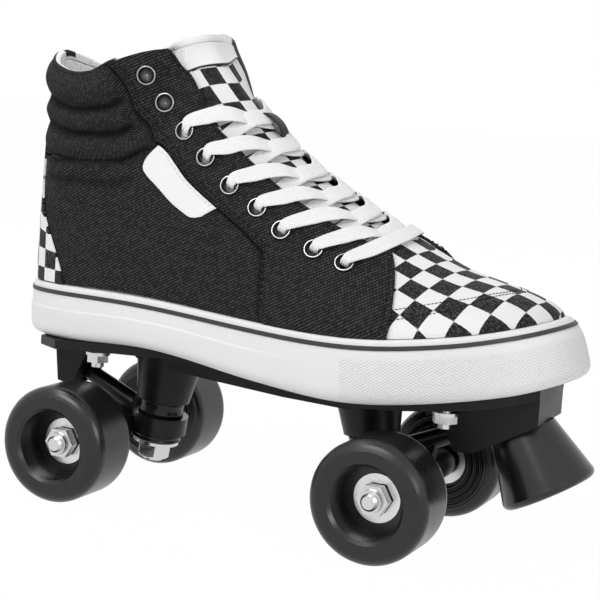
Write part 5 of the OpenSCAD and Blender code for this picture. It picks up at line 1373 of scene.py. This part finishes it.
class SKATE_OT_tongue(SkateStep):
    """Padded tongue with its binding and blank label"""
    bl_idname = "skate.tongue"
    bl_label = "Tongue"

    def make(self, looks):
        self.tongue(looks.check_size / MM * 0.83)
        self.binding()
        self.label()

    def tongue(self, check):
        """Padded sheet, thinner along its middle, with the print below the label's arc."""
        l, w = np.meshgrid(steps(110, 0.004), steps(44, 0.01), indexing="ij")
        l, w = l * 0.96, (2 * w - 1) * 0.885
        edge = edge_drop(l.shape, 0.5)
        outer = tongue_at(l, w, edge)
        inner = tongue_at(l, w, TONGUE_T - edge - 0.6 * (1 - np.abs(w)))
        across, along = run_length(outer, 1), run_length(outer, 0)
        across = across - across[:, [across.shape[1] // 2]]
        checks = np.stack([(across + 14.2) / check, (l - PRINT_BOW * w**2 - 0.797) / 0.045], -1)
        shown = ease(0.006, -0.006, l - LABEL_LOW - PRINT_BOW * w**2) * ease(0.02, -0.02, w - 0.44)
        piece = sheet("padded_tongue", outer, inner, MATERIALS["tongue"],
                      {"cloth": np.stack([across, along], -1) * MM, "checks": checks}, {"print": shown})
        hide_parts("tongue")

    def binding(self):
        """Tape folded round the tongue's edge: a flattened oval carried up one side, over the top and down
        the other, broader on the inner side near the top."""
        corner = np.linspace(0, np.pi / 2, 10)[1:-1]
        up, over = np.linspace(0.24, 0.965, 60), np.linspace(-0.93, 0.93, 46)
        l = np.concatenate([up, 0.965 + 0.022 * np.sin(corner), np.full(46, 0.988),
                            0.965 + 0.022 * np.cos(corner), up[::-1]])
        w = np.concatenate([np.full(60, -0.955), -0.93 - 0.025 * np.cos(corner), over,
                            0.93 + 0.025 * np.sin(corner), np.full(60, 0.955)])
        mid = tongue_at(l, w, np.full(l.shape, TONGUE_T / 2))
        out = unit(tongue_at(l, w, np.full(l.shape, TONGUE_T / 2 - 1)) - mid)
        b = unit(np.cross(unit(np.gradient(mid, axis=0)), out))
        flat, tall = oval(20, 0.7, 0.6)
        broad = 2.1 * (1 + 0.6 * ease(0.2, 0.6, w) * ease(0.78, 0.88, l))
        rings = (mid[:, None] + (broad[:, None] * flat)[..., None] * b[:, None]
                 + ((TONGUE_T / 2 + 0.35) * tall)[None, :, None] * out[:, None])
        around = np.linspace(0, 2 * np.pi, 20, endpoint=False) * 2.2
        uv = np.stack(np.broadcast_arrays(path_length(mid)[:, None], around), -1) * MM
        pale = ease(0.975, 0.985, l) * ease(0.86, 0.8, w)
        piece = loop_tube("tongue_tape", rings, MATERIALS["binding"], layers={"cloth": uv},
                          values={"pale": np.broadcast_to(pale[:, None], rings.shape[:2])}, sharp=60)
        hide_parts("tongue_binding")

    def label(self):
        """Blank label: a patch under the tongue's top edge whose lower edge is an arc."""
        p, q = np.meshgrid(steps(16, 0.02), steps(40, 0.01), indexing="ij")
        w = -0.8 + 1.6 * q
        low = LABEL_LOW + PRINT_BOW * w**2
        l = low + (0.955 - low) * p
        outer = tongue_at(l, w, edge_drop(l.shape, 0.25) - 1.05)
        inner = tongue_at(l, w, np.full(l.shape, -0.15))
        piece = sheet("blank_label", outer, inner, MATERIALS["binding"],
                      {"cloth": cloth_uv(outer)}, {"pale": ease(0.02, 0.06, p)})
        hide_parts("tongue_label")


# The lace's way: rows of place, height up the rib, side, height over the skin, width and thickness
UNDER = -TONGUE_CLEAR + 0.3 + LACE_T / 2
CROSS = UNDER + LACE_T + 0.3
ON_STAY = OVER_HI + 0.3 + LACE_T / 2
FLANGE_Z = OVER_HI + 0.3
ON_FLANGE = FLANGE_Z + 0.9 + 0.3 + LACE_T / 2
HOLE_W, HOLE_T = 4.4, 1.56
FIRST_ROW, LAST_ROW = 2, 8
CROSS_WIDER = 1.12


def lace_out(i, sd, w):
    """Stops where the lace comes up through a hole and turns over the eyelet's rim."""
    a, v = EYELETS[i]
    return [[a, v, sd, -0.4, HOLE_W, HOLE_T], [a, v + 0.001, sd, 1.5, HOLE_W, HOLE_T],
            [a, v + 0.012, sd, ON_FLANGE - 0.5, HOLE_W, LACE_T],
            [a, v + 0.035, sd, ON_FLANGE, (HOLE_W + w) / 2, LACE_T]]


def lace_in(i, sd, w):
    """Stops where the lace comes to a hole from below."""
    a, v = EYELETS[i]
    return [[a + 0.003, v + 0.05, sd, UNDER, (HOLE_W + w) / 2, LACE_T],
            [a, v + 0.016, sd, UNDER + 0.1, HOLE_W, LACE_T]]


def lace_cross(i, sd, w):
    """Stops over the eyestay's edge, across the tongue and under the other side, one row down. Each is a
    share of the way to the next row, a height up the rib, a side and a height over the skin. A strand
    that comes from the inner side lies on top and is a little wider there. The boot's ribs lean forward,
    so a strand that runs level across it moves towards the toe as it climbs."""
    a = EYELETS[i][0]
    lean = np.interp(a, [0.49, 0.54, 0.6, 0.67], [0.01, 0.017, 0.022, 0.026])
    d = a - EYELETS[i + 1][0]
    if sd > 0:
        way = [[0.1, 0.675, sd, ON_STAY], [0.14, 0.77, sd, ON_STAY], [0.2, 0.815, sd, CROSS + 0.4],
               [0.3, 0.89, sd, CROSS], [0.42, 1, sd, CROSS], [0.53, 0.88, -sd, CROSS + 0.1],
               [0.66, 0.79, -sd, UNDER + 0.2], [0.8, 0.69, -sd, UNDER]]
    else:
        way = [[0.12, 0.675, sd, ON_STAY], [0.2, 0.73, sd, ON_STAY], [0.32, 0.79, sd, ON_STAY - 0.7],
               [0.48, 0.88, sd, UNDER], [0.6, 1, sd, UNDER], [0.68, 0.88, -sd, UNDER],
               [0.74, 0.77, -sd, UNDER], [0.84, 0.68, -sd, UNDER]]
    wide = lambda v: w * (CROSS_WIDER if sd > 0 and v > 0.85 else 1)
    return [[a - share * d - lean * max(0, v - 0.6) / 0.4, v, side, off, wide(v), LACE_T]
            for share, v, side, off in way]


def lace_strand(sd, w):
    """One end of the lace, from the inside at its first row down to its last."""
    a, v = EYELETS[FIRST_ROW]
    way = [[a + 0.022, v + 0.03, sd, UNDER, HOLE_W, LACE_T], [a + 0.01, v + 0.02, sd, UNDER, HOLE_W, LACE_T]]
    for i in range(FIRST_ROW, LAST_ROW + 1):
        s = sd if (i - FIRST_ROW) % 2 == 0 else -sd
        way += lace_out(i, s, w)
        if i < LAST_ROW:
            way += lace_cross(i, s, w) + lace_in(i + 1, -s, w)
    return way


def lace_stops(w):
    """The whole lace: one strand down, the bar across the lowest pair, and the other strand up."""
    a = EYELETS[LAST_ROW][0]
    half = [[a - 0.003, 0.675], [a - 0.006, 0.8], [a - 0.008, 0.91]]
    bar = ([[x, v, -1, ON_STAY, w, LACE_T] for x, v in half] + [[a - 0.008, 1, 1, ON_STAY, w, LACE_T]]
           + [[x, v, 1, ON_STAY, w, LACE_T] for x, v in half[::-1]])
    return np.array(lace_strand(-1, w) + bar + lace_strand(1, w)[::-1], float)


class SKATE_OT_laces(SkateStep):
    """Flat lace and the webbing loop on the tongue"""
    bl_idname = "skate.laces"
    bl_label = "Laces"

    def make(self, looks):
        self.lace(looks.lace_width / MM)
        self.loop()

    def lace(self, width):
        """A flat oval carried along a smooth curve through the stops, its breadth kept along the boot."""
        stops = lace_stops(width)
        p, n, along = skin_frame(stops[:, 0], stops[:, 1], stops[:, 2])
        p = p + stops[:, 3:4] * n
        knot = np.concatenate([[0], np.cumsum(np.sqrt(np.linalg.norm(np.diff(p, axis=0), axis=1)))])
        t = np.concatenate([np.linspace(a, b, 9)[:-1] for a, b in zip(knot[:-1], knot[1:])] + [knot[-1:]])
        line = curve(knot, p, t)
        half_wide = 0.5 * curve(knot, stops[:, 4], t)[:, None]
        half_thick = 0.5 * np.interp(t, knot, stops[:, 5])[:, None]
        d = unit(np.gradient(line, axis=0))
        side = curve(knot, along, t)
        side = unit(side - (side * d).sum(-1, keepdims=True) * d)
        x, z = oval(20, 0.55, 0.8)
        rings = (line[:, None] + (half_wide * x)[..., None] * side[:, None]
                 + (half_thick * z)[..., None] * np.cross(d, side)[:, None])
        uv = np.stack(np.broadcast_arrays(half_wide * x, path_length(line)[:, None]), -1) * MM
        piece = loop_tube("flat_lace", rings, MATERIALS["lace"], layers={"cloth": uv}, sharp=70)
        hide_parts("laces")

    def loop(self):
        """A band bent into half an oval that stands on the tongue across a crossing of the lace."""
        reach, height, thick, width = 8.1, 4.3, 1.0, 8.0
        at, n, _ = skin_frame(np.array(0.622), np.array(1.0), np.array(1.0))
        n = unit(n * [1, 0, 1])
        foot = at * [1, 0, 1] - (TONGUE_CLEAR - 0.2) * n
        forward, across = np.cross([0, 1, 0], n), np.array([0, 1.0, 0])
        ang = np.linspace(0, np.pi, 41)[:, None]
        mid = foot + reach * np.cos(ang) * forward + height * np.sin(ang) * n
        out = unit(0.5 * np.cos(ang) * forward + np.sin(ang) * n)
        x, z = oval(16, 0.5, 0.7)
        rings = (mid[:, None] + 0.5 * thick * z[None, :, None] * out[:, None]
                 + 0.5 * width * x[None, :, None] * across)
        uv = np.stack(np.broadcast_arrays(0.5 * width * x, ang * 6), -1) * MM
        piece = loop_tube("webbing_loop", rings, MATERIALS["webbing"], layers={"cloth": uv},
                          sharp=60)
        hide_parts("lace_loop")


class SKATE_OT_eyelets(SkateStep):
    """Turned eyelets on both eyestays"""
    bl_idname = "skate.eyelets"
    bl_label = "Eyelets"

    def make(self, looks):
        profile, bare, rim = self.profiles()
        # Eyelets without a lace get the profile whose bore is closed by a black disc, painted shade in the
        # hole
        empty = (np.arange(len(EYELETS)) < FIRST_ROW)[:, None, None]
        shape = np.where(empty, bare, profile)[:, None]
        around, m = 48, len(profile)
        ang = np.linspace(0, 2 * np.pi, around, endpoint=False)[None, :, None]
        faces = np.concatenate([quads(around, m, wrap_n=True, wrap_m=True, start=k * around * m)
                                for k in range(len(EYELETS))])
        for name, sd in SIDES:
            at, n, x, y = (v[:, None] for v in eyelet_frames(sd))
            turn = np.cos(ang) * x + np.sin(ang) * y
            points = at[:, None] + shape[..., 0:1] * turn[:, :, None] + shape[..., 1:2] * n[:, None]
            piece = build("eyelet_rings_" + name, points, faces.tolist(), MATERIALS["eyelet"],
                          values={"rim": np.broadcast_to(rim, points.shape[:3])}, sharp=50)
            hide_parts("eyelets_" + name)

    def profiles(self):
        """Section of an eyelet as radius and height: a rolled flange, a neck and a clenched foot. The one
        without a lace has its bore almost closed by a black disc, painted shade in the hole. rim is bright on
        the flange."""
        r, wall = EYELET_HOLE_R, 0.5
        lo, hi = OVER_LO - 0.3, FLANGE_Z
        roll = np.linspace(0, np.pi, 17)
        mid, half = (r + 0.5 + EYELET_R) / 2, (EYELET_R - r - 0.5) / 2
        flange = np.stack([mid + half * np.cos(roll), hi + 0.85 * np.sin(roll) ** 0.8], -1)
        neck = lambda bore: np.array([[r + 0.2, hi - 0.4], [bore, lo - 0.2], [bore, lo - 0.5],
                                      [r + 1.2, lo - 0.5], [r + 1.2, lo], [r + wall, lo],
                                      [r + wall, hi - 0.1], [EYELET_R - 0.3, hi - 0.1]])
        profile, bare = (np.concatenate([flange, neck(bore)]) for bore in (r - 0.45, 0.25))
        rim = np.exp(-((profile[:, 0] - mid - 0.12) / 0.2) ** 2) * (profile[:, 1] > hi + 0.2)
        # A little metal where the bore ends: on an eyelet without a lace, a faint grey dot in the middle of
        # the disc of painted shade
        rim[len(flange) + 1] = 0.25
        return profile, bare, rim


class SKATE_OT_stitching(SkateStep):
    """Rows of stitches along the seams"""
    bl_idname = "skate.stitching"
    bl_label = "Stitching"

    def make(self, looks):
        pitch = looks.stitch_pitch / MM
        seams, toe = [], []
        for _, sd in SIDES:
            seams += self.stay_seams(sd)
            for place, height in TOE_ROWS:
                a = np.linspace(place[-1], place[0], 90)
                toe.append(seam(a, np.minimum(curve(place, height, a), 1), sd, BASE_HI))
        a = np.linspace(0.606, 0.684, 60)
        tag = [seam(a, 0.45 + 0.14 * (a - a[0]), -1.0, OVER_LO + TAG_H)]
        self.sew("seam_stitches", "trim_black", "thread", seams, pitch, 0.62)
        self.sew("toe_stitches", "trim_black", "thread", toe, pitch * 0.55, 0.42, 0.9, 0.2)
        self.sew("tag_stitches", "label_white", "thread_pale", tag, pitch * 0.8, 0.5)

    def sew(self, name, slot, thread, *lines_and_sizes):
        """One piece of all the stitches along some lines."""
        points, faces = stitch_points(*lines_and_sizes)
        build(name, points, faces, MATERIALS[thread], sharp=80)

    def stay_seams(self, sd):
        """Two rows along an eyestay's rear edge, one along its front edge and one along its foot."""
        t = np.linspace(0, 1, 160)
        back, front = stay_edges(t, sd)
        rows = []
        for share, first in ((0.06, 0.285), (0.13, 0.285), (0.955, -1)):
            k = (back + (front - back) * share)[t > first]
            lean = bow(share, t[t > first]) if first < 0 else 0
            rows.append(seam(k[:, 0] - lean, k[:, 1], sd, OVER_HI))
        share = np.linspace(0.05, 0.95, 60)
        k = back[:1] + (front[:1] - back[:1]) * share[:, None] + [0.009, 0]
        rows.append(seam(k[:, 0] - bow(share, 0), k[:, 1], sd, OVER_HI))
        return rows


class SKATE_PT_panel(bpy.types.Panel):
    """Sidebar with the skate's looks and steps"""
    bl_label = "Roller Skate"
    bl_idname = "SKATE_PT_panel"
    bl_space_type = "VIEW_3D"
    bl_region_type = "UI"
    bl_category = "Skate"

    def draw(self, context):
        looks = context.scene.skate_looks
        for key in looks.__annotations__:
            self.layout.prop(looks, key)
        for step in STEPS:
            self.layout.operator(step.bl_idname)


STEPS = (SKATE_OT_stage, SKATE_OT_hardware, SKATE_OT_sole, SKATE_OT_upper, SKATE_OT_collar, SKATE_OT_tongue,
         SKATE_OT_eyelets, SKATE_OT_laces, SKATE_OT_stitching)
CLASSES = (SkateLooks, *STEPS, SKATE_PT_panel)


def register():
    for cls in CLASSES:
        bpy.utils.register_class(cls)
    bpy.types.Scene.skate_looks = PointerProperty(type=SkateLooks)


def unregister():
    del bpy.types.Scene.skate_looks
    for cls in reversed(CLASSES):
        bpy.utils.unregister_class(cls)


def main():
    """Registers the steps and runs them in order."""
    register()
    make_materials(bpy.context.scene.skate_looks)
    for step in STEPS:
        area, name = step.bl_idname.split(".")
        getattr(getattr(bpy.ops, area), name)()


if __name__ == "__main__":
    main()
